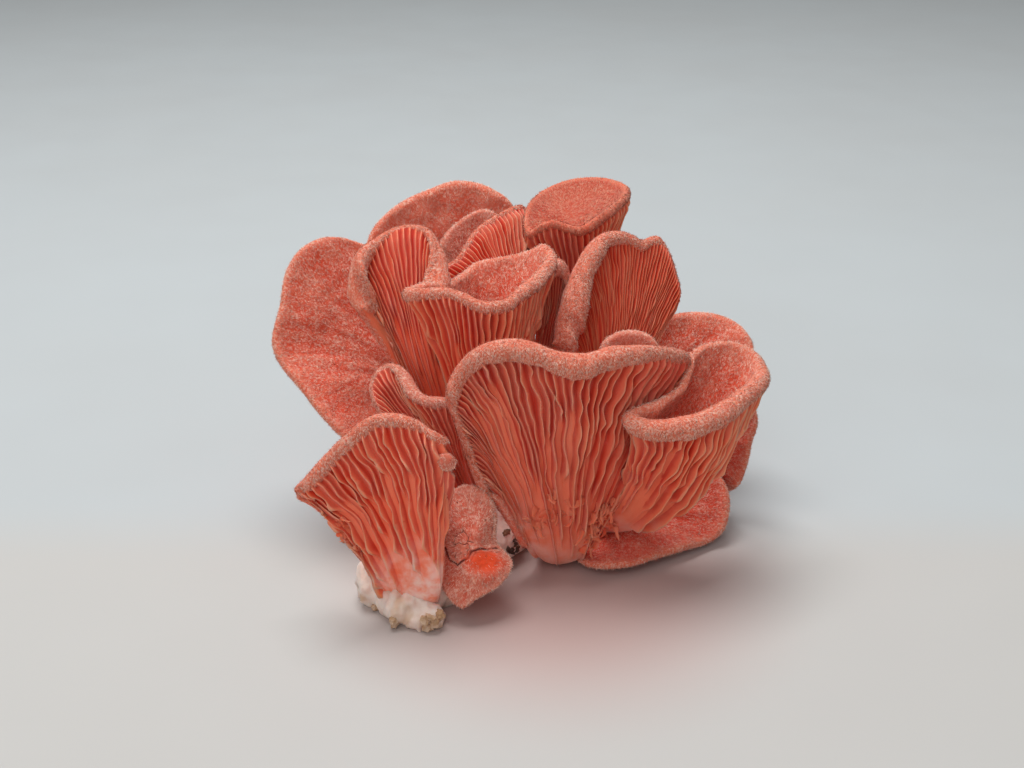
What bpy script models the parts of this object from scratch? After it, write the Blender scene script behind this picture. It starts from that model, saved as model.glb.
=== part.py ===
"""Pink oyster mushroom cluster: a picked bunch of folded caps on one flat-cut foot.

Each cap is a sheet of flesh. Its spokes leave the stem, run up through a fan point and end
on the margin, a smooth line through a few measured points. The gills are ridges on one side
of the sheet, and the margin is a rounded rim that rolls toward the gills.
Lengths are in millimetres until a mesh is made; meshes are in metres, +Z up, floor at z = 0.
"""
import math
from dataclasses import dataclass

import bmesh
import bpy
import numpy as np
from mathutils import Matrix

# Driving dimensions, in millimetres and degrees

VIEW_TILT = math.radians(25)     # the measuring plane leans back this far
VIEW_DISTANCE = 320.0            # from the eye to the measuring plane
VIEW_HEIGHT = 36.0               # of the measuring plane's centre above the floor
FLESH = 1.0                      # half the thickness of a cap between stem and rim
GILL_HEIGHT = 0.9                # of a ridge above the valley beside it
CLEARANCE = 0.3                  # between one piece and the next
RIM_ROWS = (2.0, 1.0, 0.35)      # rows across the rim, in rim radii from the margin
RIM_LIMIT = 1 / 6                # a rim's radius is at most this share of its spoke's length
SPOKE_STEPS = 32                 # samples along a spoke when its length is measured
GILLS = (0.22, 0.45)             # where they rise from the stem and are full, root to margin
GILL_LIMIT = 0.8                 # a ridge is at most this share of the space to the next
STEM_END = 0.5                   # where the stem has thinned to the flesh of the cap
HOLD = 0.75                      # how near the spokes pass to the fan point
EDGE_HOLD = 0.55                 # share of that left to the spokes at an open cap's two edges
EDGE_BEND = 0.65                 # share of the way to the bend point that those edges go
EDGE_TAPER = 3                   # how fast the flesh is full away from an open edge
SHEET_NORMALS = (0.3, 0.8)       # between these the stem's direction gives way to the sheet's
PIT_DROP = 0.3                   # how far a funnel's pit lies toward the gills
CROWN_RING = 0.55                # size of the ring inside a closed top, as a share of its rim
LINE_STEPS = 12                  # samples between two given points of a margin
LUMP_SIDES = 10                  # of an egg-shaped lump, around
LUMP_RINGS = 7                   # and from top to bottom
MM = 0.001

# Colours of the flesh, linear red, green and blue

SALMON = (0.60, 0.13, 0.09)
CORAL = (0.66, 0.11, 0.06)
DEEP_CORAL = (0.58, 0.07, 0.03)
ROSE = (0.62, 0.19, 0.14)
CREAM = (0.68, 0.58, 0.50)


def seen(across, up, near):
    """World point of a place measured in the viewing plane: across, up, and toward the eye."""
    shrink = 1 - near / VIEW_DISTANCE
    x, y = across * shrink, up * shrink
    return np.array((
        x,
        y * math.sin(VIEW_TILT) - near * math.cos(VIEW_TILT),
        VIEW_HEIGHT + y * math.cos(VIEW_TILT) + near * math.sin(VIEW_TILT),
    ))


@dataclass
class Cap:
    """One mushroom: its stem's centre line, its margin, and how finely it is cut into faces.

    margin holds (across, up, near, rim radius). Clockwise as the eye sees it, the gills face
    the eye; the other way round they face away. On a funnel it runs right round, and the
    gills are outside.
    """
    name: str
    colour: tuple
    stem: list                   # world points: root in the foot, bend, fan point
    widths: tuple                # half the stem's width at those points
    depth: float                 # half the stem's thickness at the root
    margin: list
    columns: int
    rows: int
    funnel: bool = False
    oval: float = 1.0            # a funnel's stem at its fan point, front to back over side to side
    fan: float = 0.4             # how far out a spoke keeps to the fan point's side
    pit: float = 0.5             # where a funnel's hollow ends, from root to margin
    crown: float = None          # height of a closed top's middle above its rim, in place of a hollow
    beside: tuple = ()           # neighbours it is pressed against, and is cut back from
    across: tuple = None         # way the stem is wide, where it isn't from one margin end to the other


CAPS = [
    # The largest mushroom, gills to the front
    Cap("cap_front", SALMON,
        [(10, -7, 6), seen(13.2, -56, 12), seen(9.5, -20, 17)], (4.2, 4.6, 7), 3.8,
        [(-2.5, -25, 14, 0.8), (-8.3, -22, 17, 1.1), (-10.6, -15.5, 19, 1.2),
         (-12.8, -8.3, 21, 1.2), (-14.9, -2.4, 23, 1.5), (-12.8, 3.6, 25, 1.8),
         (-7.9, 8.6, 28, 2.2), (-1.4, 10.6, 30, 2.4), (5, 9.9, 31, 2.5), (10, 7.9, 31, 2.6),
         (15.5, 7.5, 31, 2.8), (21.8, 8.8, 30, 2.5), (29, 9, 27, 1.9), (36, 8.3, 21, 1.6),
         (39.2, 6.6, 15, 1.3), (38, 1.5, 10, 1.0), (35, -4, 8, 0.9)],
        42, 6, across=(1, 0, 0)),
    # The folded lobe in front of its right part
    Cap("cap_front_right", CORAL,
        [(19, -5, 6), seen(27, -37, 9), seen(37, -18.5, 17)], (3.0, 3.2, 9), 3.0,
        [(28, -6.8, 27, 1.8), (30.8, -8.8, 28, 2.0), (35, -10.1, 28, 2.2), (41, -9.1, 26, 2.3),
         (46.2, -6.5, 23, 2.3), (50.6, -3.2, 19, 2.2), (54.3, -0.3, 15, 2.1), (56.6, 3, 11, 1.8),
         (55.5, 6.2, 8, 1.5), (51, 8.8, 7, 1.2), (46, 9.3, 9, 1.0), (41.5, 7.8, 13, 1.0),
         (40, 3, 17, 0.9), (38, -1, 20, 0.9), (33, -4.5, 24, 1.2)],
        26, 5, funnel=True, oval=0.45, beside=("cap_front",)),
    # The fan at the lower left, gills to the front
    Cap("cap_lower_left", SALMON,
        [(-19.5, -32, 4), seen(-21.5, -57, 26), seen(-22.5, -34, 27)], (3.5, 7, 8), 3.0,
        [(-40, -29.8, 28, 0.7), (-45, -26.3, 30, 0.8), (-49, -24, 31, 1.0), (-47, -21.3, 32, 1.4),
         (-42.5, -16, 33, 1.4), (-37.3, -10.8, 35, 1.4),
         (-33.9, -8, 36, 1.2), (-30.4, -6.4, 37, 1.0), (-26.3, -6.2, 38, 0.9),
         (-21.8, -7.6, 37, 0.9), (-18.4, -9.9, 36, 0.9), (-15.8, -12, 35, 0.9)],
        26, 5),
    # The tall mushroom left of the centre, with a pocket of gills
    Cap("cap_centre_tall", CORAL,
        [(-10, -3, 9), seen(-18.3, -2, 7), seen(-23.5, 14, 7)], (2.8, 3.0, 3.2), 2.8,
        [(-33.5, 17, 11, 1.6),
         (-36.8, 21, 10, 2.8), (-37.2, 25.5, 8, 3.2), (-35, 29.6, 6, 2.4), (-31, 32.6, 5, 1.5),
         (-27, 35, 4, 0.9),
         (-22.5, 35.9, 4, 0.9), (-18.6, 34.8, 5, 1.6), (-16, 31.2, 6, 2.2), (-15.8, 27.5, 8, 2.4),
         (-16.8, 26.4, 7, 1.7)],
        20, 5),
    # The funnel that forks from the same stem
    Cap("cap_centre_funnel", CORAL,
        [(-3, -5, 10), seen(-7.5, -2, 10), seen(-6.5, 6, 10)], (3.0, 4.2, 6.2), 3.2,
        [(-23.6, 20.3, 17, 1.9), (-20, 20.2, 19, 1.6), (-15, 20.2, 20, 1.4), (-11, 18.8, 21, 1.7),
         (-6.5, 16.6, 22, 1.9), (-1.5, 17.4, 20, 1.9), (2.5, 21.2, 16, 2.1), (6.5, 25, 10, 2.2),
         (9.3, 29, 4, 1.8), (7.5, 31.4, 0, 1.6), (3.5, 29.4, -1, 1.4), (-2, 28.2, -1, 1.2),
         (-7.5, 27.2, 0, 1.2), (-11.3, 24.2, 4, 1.2), (-15, 22.3, 10, 1.2), (-19.5, 22.5, 15, 1.5)],
        28, 5, funnel=True),
    # The small folded mushroom between the two
    Cap("cap_small_left", ROSE,
        [(-8, -11, 9), seen(-13, -22, 13), seen(-17, -12, 15)], (2.4, 2.6, 3), 2.4,
        [(-28.5, -9, 16, 0.5), (-31.4, -3.5, 16, 0.5), (-32, 0, 15, 0.6),
         (-30.6, 3, 15, 0.7), (-28, 4.6, 15, 0.9), (-25.2, 3.6, 17, 1.4), (-22.6, -0.4, 19, 1.6),
         (-19.5, -2.3, 19, 1.5), (-15, -3, 18, 1.3), (-11.5, -5, 16, 1.0)],
        14, 5),
    # The large downy cap at the far left, gills away
    Cap("cap_left", CORAL,
        [(-12, 3, 8), seen(-16, -14, -8), seen(-23, 6, -13)], (3.6, 3.8, 4.5), 3.6,
        [(-22, 24, -16, 0.8), (-27, 29.5, -15, 0.9), (-33.5, 31.3, -11, 1.0),
         (-38, 32.8, -9, 1.0), (-43, 32.8, -7, 1.0), (-48, 30, -4, 1.0), (-51, 25, -2, 1.0),
         (-52.2, 18, 0, 1.0), (-53.9, 10, 2, 1.0), (-52.3, 5, 3, 1.0), (-48, -0.5, 5, 1.0),
         (-42, -8, 6, 1.0), (-37, -12.5, 6, 1.0), (-30, -16.5, 3, 0.9), (-23, -18, -2, 0.8)],
        20, 4),
    # The large downy cap at the top left, behind, gills away
    Cap("cap_top_left", CORAL,
        [(-9, 12, 7), seen(-9, 6, -31), seen(-12, 24, -33)], (3.0, 3.2, 4), 3.0,
        [(3.5, 34, -29, 0.9), (-0.5, 41.3, -27, 1.0), (-4.3, 44.1, -26, 1.0),
         (-8.3, 45.7, -26, 1.0), (-13, 46, -26, 1.0), (-18.5, 44, -25, 1.0),
         (-23.2, 42.1, -23, 1.0), (-27.5, 39.2, -21, 1.0), (-31, 35, -19, 1.0),
         (-33, 29.5, -19, 1.0), (-31.5, 23, -22, 0.9)],
        18, 4),
    # The gilled fan at the top, in the middle
    Cap("cap_top_middle", DEEP_CORAL,
        [(-1, 6, 11), seen(-1, 6, -9), seen(-2, 20, -11)], (2.6, 2.8, 3.4), 2.6,
        [(-14, 20.5, -4, 0.6), (-15.9, 25.8, -5, 0.7),
         (-12.8, 28.1, -7, 0.8), (-11.1, 30.4, -8, 0.8), (-8.6, 34.4, -10, 0.9),
         (-5.6, 36.9, -12, 0.9), (-1.5, 39.2, -15, 0.9), (2.2, 40.3, -19, 0.9), (3.2, 38, -22, 0.8),
         (3.2, 33, -21, 0.7)],
        16, 5, beside=("cap_top_right",)),
    # The small downy cap just behind it, gills away
    Cap("cap_top_small", ROSE,
        [(-2.5, 11, 10), seen(-5, 14, -18), seen(-8, 26, -18)], (1.8, 1.9, 2.2), 1.8,
        [(-4, 34, -17, 0.7), (-3.8, 38.4, -17, 0.8), (-7.2, 39.2, -17, 0.9),
         (-11.5, 36.9, -16, 0.9), (-14.6, 34.2, -15, 0.9), (-16.2, 31, -14, 0.9),
         (-14, 27, -14, 0.7)],
        10, 4),
    # The tallest cap, downy above, gills all round below
    Cap("cap_top_right", CORAL,
        [(7, 12, 9), seen(13, 4, -25), seen(14.5, 24, -22)], (3.0, 3.2, 3.6), 3.2,
        [(4.2, 34.4, -9, 1.0), (7.2, 35.7, -8, 0.9), (11, 35.6, -7, 0.8), (15, 34.8, -7, 0.8),
         (19.1, 36.9, -8, 0.9), (22.3, 39.2, -11, 1.0), (25.2, 42, -15, 1.1),
         (25.6, 45, -20, 1.1), (20, 46.8, -25, 1.0), (13, 46.3, -26, 1.0), (7.3, 43.9, -23, 1.0),
         (4, 40.6, -16, 1.0), (3.1, 37, -11, 1.0)],
        18, 4, funnel=True, crown=-2.5),
    # The tall fan at the right, gills to the front and the right
    Cap("cap_right_top", CORAL,
        [(11, 4, 10), seen(18, -8, -4), seen(25, 6, -8)], (3.4, 3.6, 4), 3.4,
        [(8.6, 9, 3, 3.2), (10, 18, 3, 3.6), (12.8, 25.4, 2, 3.6),
         (16.2, 30.8, 1, 2.8), (20, 33.8, -1, 2.0), (23.5, 34.5, -3, 1.7), (27, 33.5, -5, 1.4),
         (29, 32.4, -6, 1.3), (32.6, 33.3, -8, 1.1), (35, 30.5, -9, 0.7), (37, 25.4, -10, 0.7),
         (38, 20.5, -11, 0.7), (36.5, 16, -11, 0.7)],
        26, 5),
    # The downy cap behind the right side, gills away
    Cap("cap_right_back", CORAL,
        [(17, 9, 8), seen(26, -4, -18), seen(37, 4, -21)], (2.8, 3.0, 3.4), 2.8,
        [(49, -1, -13, 0.8), (54, 4, -14, 0.9), (54.4, 9, -15, 1.0), (52, 13, -17, 1.0),
         (48.5, 15.2, -19, 1.0), (44, 16.4, -20, 1.0), (38, 16.3, -21, 1.0), (32, 14, -21, 0.9),
         (28, 8, -22, 0.8)],
        14, 4),
    # The cap at the far right edge, gills away
    Cap("cap_far_right", DEEP_CORAL,
        [(21.5, 6, 7), seen(32, -16, -14), seen(42, -14, -14)], (2.4, 2.6, 3), 2.2,
        [(45, -21, -18, 0.7), (48.5, -23.5, -16, 0.8), (51, -22.8, -11, 0.9), (52.8, -18.5, -8, 0.9),
         (53.8, -13.5, -5, 0.9), (55.2, -8.3, -4, 0.9), (53.5, -3.5, -4, 0.9),
         (47, -2, -6, 0.8)],
        12, 4, beside=("cap_low_right",)),
    # The low cap at the lower right, downy side up, gills to the floor
    Cap("cap_low_right", DEEP_CORAL,
        [(22.5, 1, 4), seen(24, -33, -9), seen(29, -29, -9)], (2.4, 3.0, 4), 2.4,
        [(17, -38.5, 7, 0.7), (18.4, -41.4, 9, 0.8), (25.9, -41.2, 8, 0.8),
         (32, -39.4, 5, 0.8), (37.9, -37.6, 1, 0.9), (44, -35.6, -3, 1.0), (47.8, -32.6, -5, 1.0),
         (49, -26.5, -7, 1.0), (47.5, -21.6, -9, 0.9), (43, -19, -12, 0.8), (36, -19, -15, 0.7)],
        18, 4, beside=("cap_front", "cap_front_right")),
    # The young cracked cap at the lower front, its hollow to the front
    Cap("cap_cracked", ROSE,
        [(-9, -24, 6), seen(-9, -38, 12), seen(-9, -37, 17)], (3.5, 3.6, 4), 3.5,
        [(-10, -23.4, 22, 1.6), (-13.4, -25, 22, 1.5), (-14.8, -30, 22, 1.3), (-15, -38, 22, 1.3),
         (-15, -46, 23, 1.2), (-11.5, -50.2, 25, 1.0), (-8.2, -48.2, 26, 0.9),
         (-3, -45.2, 25, 0.9), (0, -40.6, 23, 0.9), (-2, -37.8, 22, 0.9), (-4.2, -35.6, 22, 1.0),
         (-4.4, -29.5, 22, 1.3), (-6, -25, 22, 1.5)],
        20, 3, funnel=True, crown=2.5),
    # The small knob behind the funnel
    Cap("cap_small_centre", ROSE,
        [(3, 1, 11), seen(6, 4, -2), seen(9.2, 14, -3)], (2.0, 2.0, 2.2), 1.6,
        [(6.5, 19, -2, 1.0), (7.6, 25, -2, 1.4), (10, 27.6, -2, 1.4),
         (12.4, 25.6, -3, 1.2), (13.5, 20, -3, 0.9)],
        8, 3),
    # The bump behind the front rim, gills away
    Cap("cap_bud_right", ROSE,
        [(12, -3, 10), seen(22, -10, 4), seen(26, 0, 5)], (1.8, 1.9, 2.2), 1.8,
        [(33, 5, 9, 0.8), (32.5, 9.3, 9, 0.9), (30, 11.4, 9, 1.0), (26.3, 12.1, 9, 1.0),
         (22.9, 11.3, 9, 1.0), (20.2, 9, 9, 0.9), (20, 5, 9, 0.8)],
        10, 4),
]

FOOT = [
    # Lumps of the foot, world centre and radii: the creamy ones at the lower left first
    ((-29, -32, 3.5), (4, 5, 7.2)),
    ((-22.5, -37.5, 3), (5.6, 6, 6)),
    ((-18, -41.3, 1.5), (3.8, 3.6, 4)),
    ((-16.5, -32, 3), (5, 7, 5)),
    ((-18, -24, 4), (9, 10, 7)),
    ((-8, -12, 5), (11, 11, 8)),
    ((4, -1, 6), (14, 11, 9.5)),
    ((13, 1, 4), (12, 10, 8)),
    ((-6, 7, 4), (11, 10, 8)),
    ((9, 10, 3.5), (11, 9, 7.5)),
]


def smooth_line(points, count, closed=False):
    """Evenly spaced points on the smooth line through the given ones."""
    given = np.array(points, float)
    if closed:
        ends = (given[-1:], given, given[:2])
    else:
        ends = (2 * given[:1] - given[1:2], given, 2 * given[-1:] - given[-2:-1])
    line = np.vstack(ends)
    gaps = np.linalg.norm(np.diff(line[:, :3], axis=0), axis=1)
    place = np.concatenate(([0], np.cumsum(gaps)))
    slope = (line[2:] - line[:-2]) / (place[2:] - place[:-2])[:, None]
    fine = []
    for i in range(1, len(line) - 2):
        step = place[i + 1] - place[i]
        for s in np.linspace(0, 1, LINE_STEPS, endpoint=False):
            leaving = (s**3 - 2 * s**2 + s) * step * slope[i - 1]
            arriving = (s**3 - s**2) * step * slope[i]
            share = 3 * s**2 - 2 * s**3
            fine.append((1 - share) * line[i] + leaving + share * line[i + 1] + arriving)
    fine.append(line[-2])
    fine = np.array(fine)
    run = np.concatenate(([0], np.cumsum(np.linalg.norm(np.diff(fine[:, :3], axis=0), axis=1))))
    stops = np.linspace(0, run[-1], count, endpoint=not closed)
    return np.column_stack([np.interp(stops, run, fine[:, k]) for k in range(fine.shape[1])])


def unit(vector):
    """The same direction at length one, row by row."""
    return vector / np.maximum(np.linalg.norm(vector, axis=-1, keepdims=True), 1e-9)


def ease(low, high, value):
    """Smooth step from 0 at low to 1 at high."""
    s = np.clip((value - low) / (high - low), 0, 1)
    return s * s * (3 - 2 * s)


def stem_rings(cap, margin):
    """Points round or across the stem at its root, bend and fan point, one for each spoke."""
    root, bend, fan = (np.array(p, float) for p in cap.stem)
    count = len(margin)
    rings = []
    if cap.funnel:
        start = margin[0] - margin.mean(axis=0)
        turn = math.atan2(start[1], start[0]) + 2 * math.pi * np.arange(count) / count
    axes = (bend - root, fan - bend, fan - bend)
    for centre, axis, width, oval in zip((root, bend, fan), axes, cap.widths, (1, 1, cap.oval)):
        axis = unit(axis)
        if cap.funnel:
            side = unit(np.array((1.0, 0, 0)) - axis[0] * axis)
            deep = np.cross(axis, side) * oval
            ring = centre + width * (np.cos(turn)[:, None] * side + np.sin(turn)[:, None] * deep)
        else:
            side = margin[-1] - margin[0] if cap.across is None else np.array(cap.across, float)
            side = unit(side - side.dot(axis) * axis)
            ring = centre - width * np.cos(np.linspace(0, math.pi, count))[:, None] * side
        rings.append(ring)
    return rings


def spokes(cap, columns):
    """Sampled spokes of a cap: points[column, step], their lengths, and the rim radii."""
    count = columns if cap.funnel else columns + 1
    world = [(*seen(x, y, near), r) for x, y, near, r in cap.margin]
    line = smooth_line(world, count, cap.funnel)
    margin, radius = line[:, :3], line[:, 3]
    root, bend, fan = stem_rings(cap, margin)
    reach = np.linalg.norm(margin - bend, axis=1) / np.linalg.norm(fan - bend, axis=1)
    hold = np.clip(HOLD * reach, 0, 1)
    if not cap.funnel:
        middle = np.sin(np.linspace(0, math.pi, count))
        bend = root + (bend - root) * (EDGE_BEND + (1 - EDGE_BEND) * middle)[:, None]
        hold = hold * (EDGE_HOLD + (1 - EDGE_HOLD) * middle)
    fan = bend + (fan - bend) * hold[:, None]
    outer = fan + (margin - fan) * cap.fan
    s = np.linspace(0, 1, SPOKE_STEPS)[None, :, None]
    controls = (root, bend, fan, outer, margin)
    points = sum(math.comb(4, k) * (1 - s)**(4 - k) * s**k * controls[k][:, None, :] for k in range(5))
    steps = np.linalg.norm(np.diff(points, axis=1), axis=2)
    runs = np.concatenate((np.zeros((count, 1)), np.cumsum(steps, axis=1)), axis=1)
    return points, runs, np.minimum(radius, runs[:, -1] * RIM_LIMIT)


def sheet_normals(cap, centre, around, along, reach):
    """Directions from the flesh toward the gills: the stem's own near the root, then the sheet's."""
    normal = unit(np.cross(around, along))
    for _ in range(2):
        before, after = np.roll(normal, 1, axis=0), np.roll(normal, -1, axis=0)
        if not cap.funnel:
            before[0], after[-1] = normal[0], normal[-1]
        normal = unit(before + 2 * normal + after)
    if cap.funnel:
        return normal
    side = unit(centre[-1, 0] - centre[0, 0])
    stem = unit(np.cross(side, along[1:-1].mean(axis=0)))[None, :, :]
    share = ease(*SHEET_NORMALS, reach)[:, :, None]
    return unit(stem * (1 - share) + normal * share)


def sheet(cap, grow=0.0):
    """The two faces of a cap as grids of points [column, row], the gill side first."""
    points, runs, radius = spokes(cap, cap.columns)
    count = len(points)
    length = runs[:, -1]
    body = np.linspace(0, 1, cap.rows)[None, :] * (length - RIM_ROWS[0] * radius)[:, None]
    rim = length[:, None] - np.array(RIM_ROWS[1:])[None, :] * radius[:, None]
    stops = np.concatenate((body, rim, length[:, None]), axis=1)
    centre = np.array([[[np.interp(t, runs[i], points[i, :, k]) for k in range(3)] for t in stops[i]]
                       for i in range(count)])
    along = np.gradient(centre, axis=1)
    if cap.funnel:
        around = np.roll(centre, -1, axis=0) - np.roll(centre, 1, axis=0)
    else:
        around = np.gradient(centre, axis=0)
    reach = stops / length[:, None]
    normal = sheet_normals(cap, centre, around, along, reach)
    margin_gap = (length[:, None] - stops) / radius[:, None]
    turn = np.ones(count) if cap.funnel else np.sin(np.linspace(0, math.pi, count))
    edge = np.minimum(1, EDGE_TAPER * turn)[:, None]
    half = FLESH * edge
    if not cap.funnel:
        half = half + (cap.depth * turn[:, None] - half) * (1 - ease(0, STEM_END, reach))
    bead = np.maximum(radius[:, None], FLESH)
    rounded = bead * np.sqrt(np.clip(1 - (1 - np.minimum(margin_gap, 1))**2, 0, 1))
    full = half + (rounded - half) * (1 - ease(RIM_ROWS[1], RIM_ROWS[0], margin_gap)) * edge
    roll = np.maximum(full - half, 0)
    spacing = np.linalg.norm(around, axis=2) / (2 if cap.funnel else 1)
    ridge = np.minimum(GILL_HEIGHT, GILL_LIMIT * spacing) * ease(*GILLS, reach) * edge
    ridge[::2] = 0
    ridge[:, cap.rows:] = 0
    under = centre + normal * (full + roll + ridge + grow)[:, :, None]
    upper = centre - normal * (full - roll + grow)[:, :, None]
    shared = centre[:, -1] + unit(along[:, -1]) * grow
    under[:, -1] = shared
    upper[:, -1] = shared
    if not cap.funnel:
        for i in (0, -1):
            outward = unit(centre[i] - centre[1 if i == 0 else -2]) * grow
            under[i, :-1] = upper[i, :-1] = (centre[i] + outward)[:-1]
    return under, upper, reach


def fan_mesh(cap, grow=0.0):
    """Corners and faces of an open cap, a closed sheet whose two faces meet along its edge."""
    under, upper, reach = sheet(cap, grow)
    count, rows = under.shape[:2]
    corners, faces = [], []
    front = np.zeros((count, rows), int)
    back = np.zeros((count, rows), int)
    for i in range(count):
        for j in range(rows):
            front[i, j] = len(corners)
            corners.append(under[i, j])
            if i in (0, count - 1) or j == rows - 1:
                back[i, j] = front[i, j]
            elif i % 2 == 0:
                back[i, j] = len(corners)
                corners.append(upper[i, j])
    for i in range(count - 1):
        for j in range(rows - 1):
            faces.append((front[i, j], front[i + 1, j], front[i + 1, j + 1], front[i, j + 1]))
    for i in range(0, count - 1, 2):
        for j in range(rows - 2):
            faces.append((back[i, j], back[i, j + 1], back[i + 2, j + 1], back[i + 2, j]))
        edge = front[i:i + 3, -1]
        faces.append((back[i, -2], *edge, back[i + 2, -2]))
    faces.append([*front[:, 0][::-1], *back[2:-2:2, 0]])
    return corners, faces


def funnel_mesh(cap, grow=0.0):
    """Corners and faces of a funnel: gills outside, hollow inside down to its pit."""
    under, upper, reach = sheet(cap, grow)
    count, rows = under.shape[:2]
    if cap.crown is None:
        first = next(j for j in range(rows) if reach[:, j].mean() >= cap.pit)
        middle = upper[:, first].mean(axis=0) * (1 - PIT_DROP) + under[:, first].mean(axis=0) * PIT_DROP
    else:
        first = cap.rows - 2
        rim = upper[:, first + 1]
        middle = rim.mean(axis=0)
        rise = unit(middle - under[:, 0].mean(axis=0)) * cap.crown
        upper[:, first] = middle + (rim - middle) * CROWN_RING + rise * (1 - CROWN_RING**2)
        middle = middle + rise
    corners, faces = [], []
    front = np.arange(count * rows).reshape(count, rows)
    corners.extend(under.reshape(-1, 3))
    back = np.zeros((count, rows), int)
    for i in range(0, count, 2):
        for j in range(first, rows - 1):
            back[i, j] = len(corners)
            corners.append(upper[i, j])
    pit = len(corners)
    corners.append(middle)
    root = len(corners)
    corners.append(under[:, 0].mean(axis=0))
    for i in range(count):
        k = (i + 1) % count
        for j in range(rows - 1):
            faces.append((front[i, j], front[k, j], front[k, j + 1], front[i, j + 1]))
        faces.append((root, front[k, 0], front[i, 0]))
    for i in range(0, count, 2):
        k = (i + 2) % count
        for j in range(first, rows - 2):
            faces.append((back[i, j], back[i, j + 1], back[k, j + 1], back[k, j]))
        faces.append((back[i, -2], front[i, -1], front[i + 1, -1], front[k, -1], back[k, -2]))
        faces.append((pit, back[i, first], back[k, first]))
    return corners, faces


def cap_mesh(cap, grow=0.0):
    """Corners and faces of a cap of either kind."""
    return funnel_mesh(cap, grow) if cap.funnel else fan_mesh(cap, grow)


def new_material(name, colour, roughness=0.75):
    """A plain finish in one colour."""
    material = bpy.data.materials.new(name)
    material.use_nodes = True
    surface = material.node_tree.nodes["Principled BSDF"]
    surface.inputs["Base Color"].default_value = (*colour, 1)
    surface.inputs["Roughness"].default_value = roughness
    surface.inputs["Metallic"].default_value = 0
    return material


def new_object(name, corners, faces, colour=None):
    """A mesh object from corners in millimetres."""
    mesh = bpy.data.meshes.new(name)
    mesh.from_pydata([tuple(np.array(c) * MM) for c in corners], [], [[int(v) for v in f] for f in faces])
    mesh.validate()
    mesh.shade_smooth()
    thing = bpy.data.objects.new(name, mesh)
    bpy.context.collection.objects.link(thing)
    if colour:
        mesh.materials.append(new_material(name, colour))
    return thing


def make_cap(cap):
    """One cap with its stem, cut back from the neighbours it is pressed against."""
    thing = new_object(cap.name, *cap_mesh(cap), cap.colour)
    for neighbour in CAPS:
        if neighbour.name in cap.beside:
            cutter = new_object("cutter", *cap_mesh(neighbour, CLEARANCE))
            bpy.context.view_layer.update()
            apply_boolean(thing, cutter, "DIFFERENCE")
            bpy.data.objects.remove(cutter)
    return thing


def make_lump(name, centre, radii, grow=0.0):
    """One egg-shaped lump of the foot."""
    mesh = bpy.data.meshes.new(name)
    shape = bmesh.new()
    bmesh.ops.create_uvsphere(shape, u_segments=LUMP_SIDES, v_segments=LUMP_RINGS, radius=1)
    size = Matrix.Diagonal([*(MM * (r + grow) for r in radii), 1])
    shape.transform(Matrix.Translation([MM * c for c in centre]) @ size)
    shape.to_mesh(mesh)
    shape.free()
    thing = bpy.data.objects.new(name, mesh)
    bpy.context.collection.objects.link(thing)
    return thing


def apply_boolean(thing, other, operation):
    """Join or cut one object by another and keep the result as its mesh."""
    step = thing.modifiers.new(operation.lower(), "BOOLEAN")
    step.operation = operation
    step.object = other
    step.solver = "MANIFOLD"
    mesh = bpy.data.meshes.new_from_object(thing.evaluated_get(bpy.context.evaluated_depsgraph_get()))
    thing.modifiers.clear()
    thing.data = mesh


def make_foot(name, grow=0.0):
    """The lumps of the foot in one body, cut flat at the floor."""
    foot = make_lump(name, *FOOT[0], grow)
    for centre, radii in FOOT[1:]:
        lump = make_lump("lump", centre, radii, grow)
        bpy.context.view_layer.update()
        apply_boolean(foot, lump, "UNION")
        bpy.data.objects.remove(lump)
    mesh = bmesh.new()
    mesh.from_mesh(foot.data)
    cut = bmesh.ops.bisect_plane(mesh, geom=[*mesh.verts, *mesh.edges, *mesh.faces], dist=1e-7,
                                 plane_co=(0, 0, 0), plane_no=(0, 0, -1), clear_outer=True)
    rim = [part for part in cut["geom_cut"] if isinstance(part, bmesh.types.BMEdge)]
    bmesh.ops.triangle_fill(mesh, edges=rim, use_beauty=True, normal=(0, 0, -1))
    mesh.to_mesh(foot.data)
    mesh.free()
    return foot


def main():
    """Build the cluster."""
    for thing in list(bpy.data.objects):
        bpy.data.objects.remove(thing, do_unlink=True)
    foot = make_foot("stem_base")
    foot.data.materials.append(new_material("stem_base", CREAM))
    cutter = make_foot("foot_cutter", CLEARANCE)
    for cap in CAPS:
        thing = make_cap(cap)
        bpy.context.view_layer.update()
        apply_boolean(thing, cutter, "DIFFERENCE")
    bpy.data.objects.remove(cutter)


main()
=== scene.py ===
"""Pink oyster mushroom cluster as it looks: fine gills, downy rims, a cracked knob, a cream foot.

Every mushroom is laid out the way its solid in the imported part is: spokes leave the stem, pass
a bend and a fan point, and end on the margin. Here the sheet is cut much finer, so that each
gill is a blade of its own, and the rim is a lumpy roll with down on it. Margins lie up to 4 mm
from the solid's, closer to the photograph's. Torn ends of gills and bits of growing medium sit
where the camera's rays meet the cluster.
Lengths are in millimetres until a mesh is made; meshes are in metres, +Z up, floor at z = 0.
"""

import itertools
import logging
import math
from dataclasses import dataclass, field
from enum import Enum

import bmesh
import bpy
import numpy as np
from mathutils import Euler, Matrix, Vector
from mathutils.bvhtree import BVHTree


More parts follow.
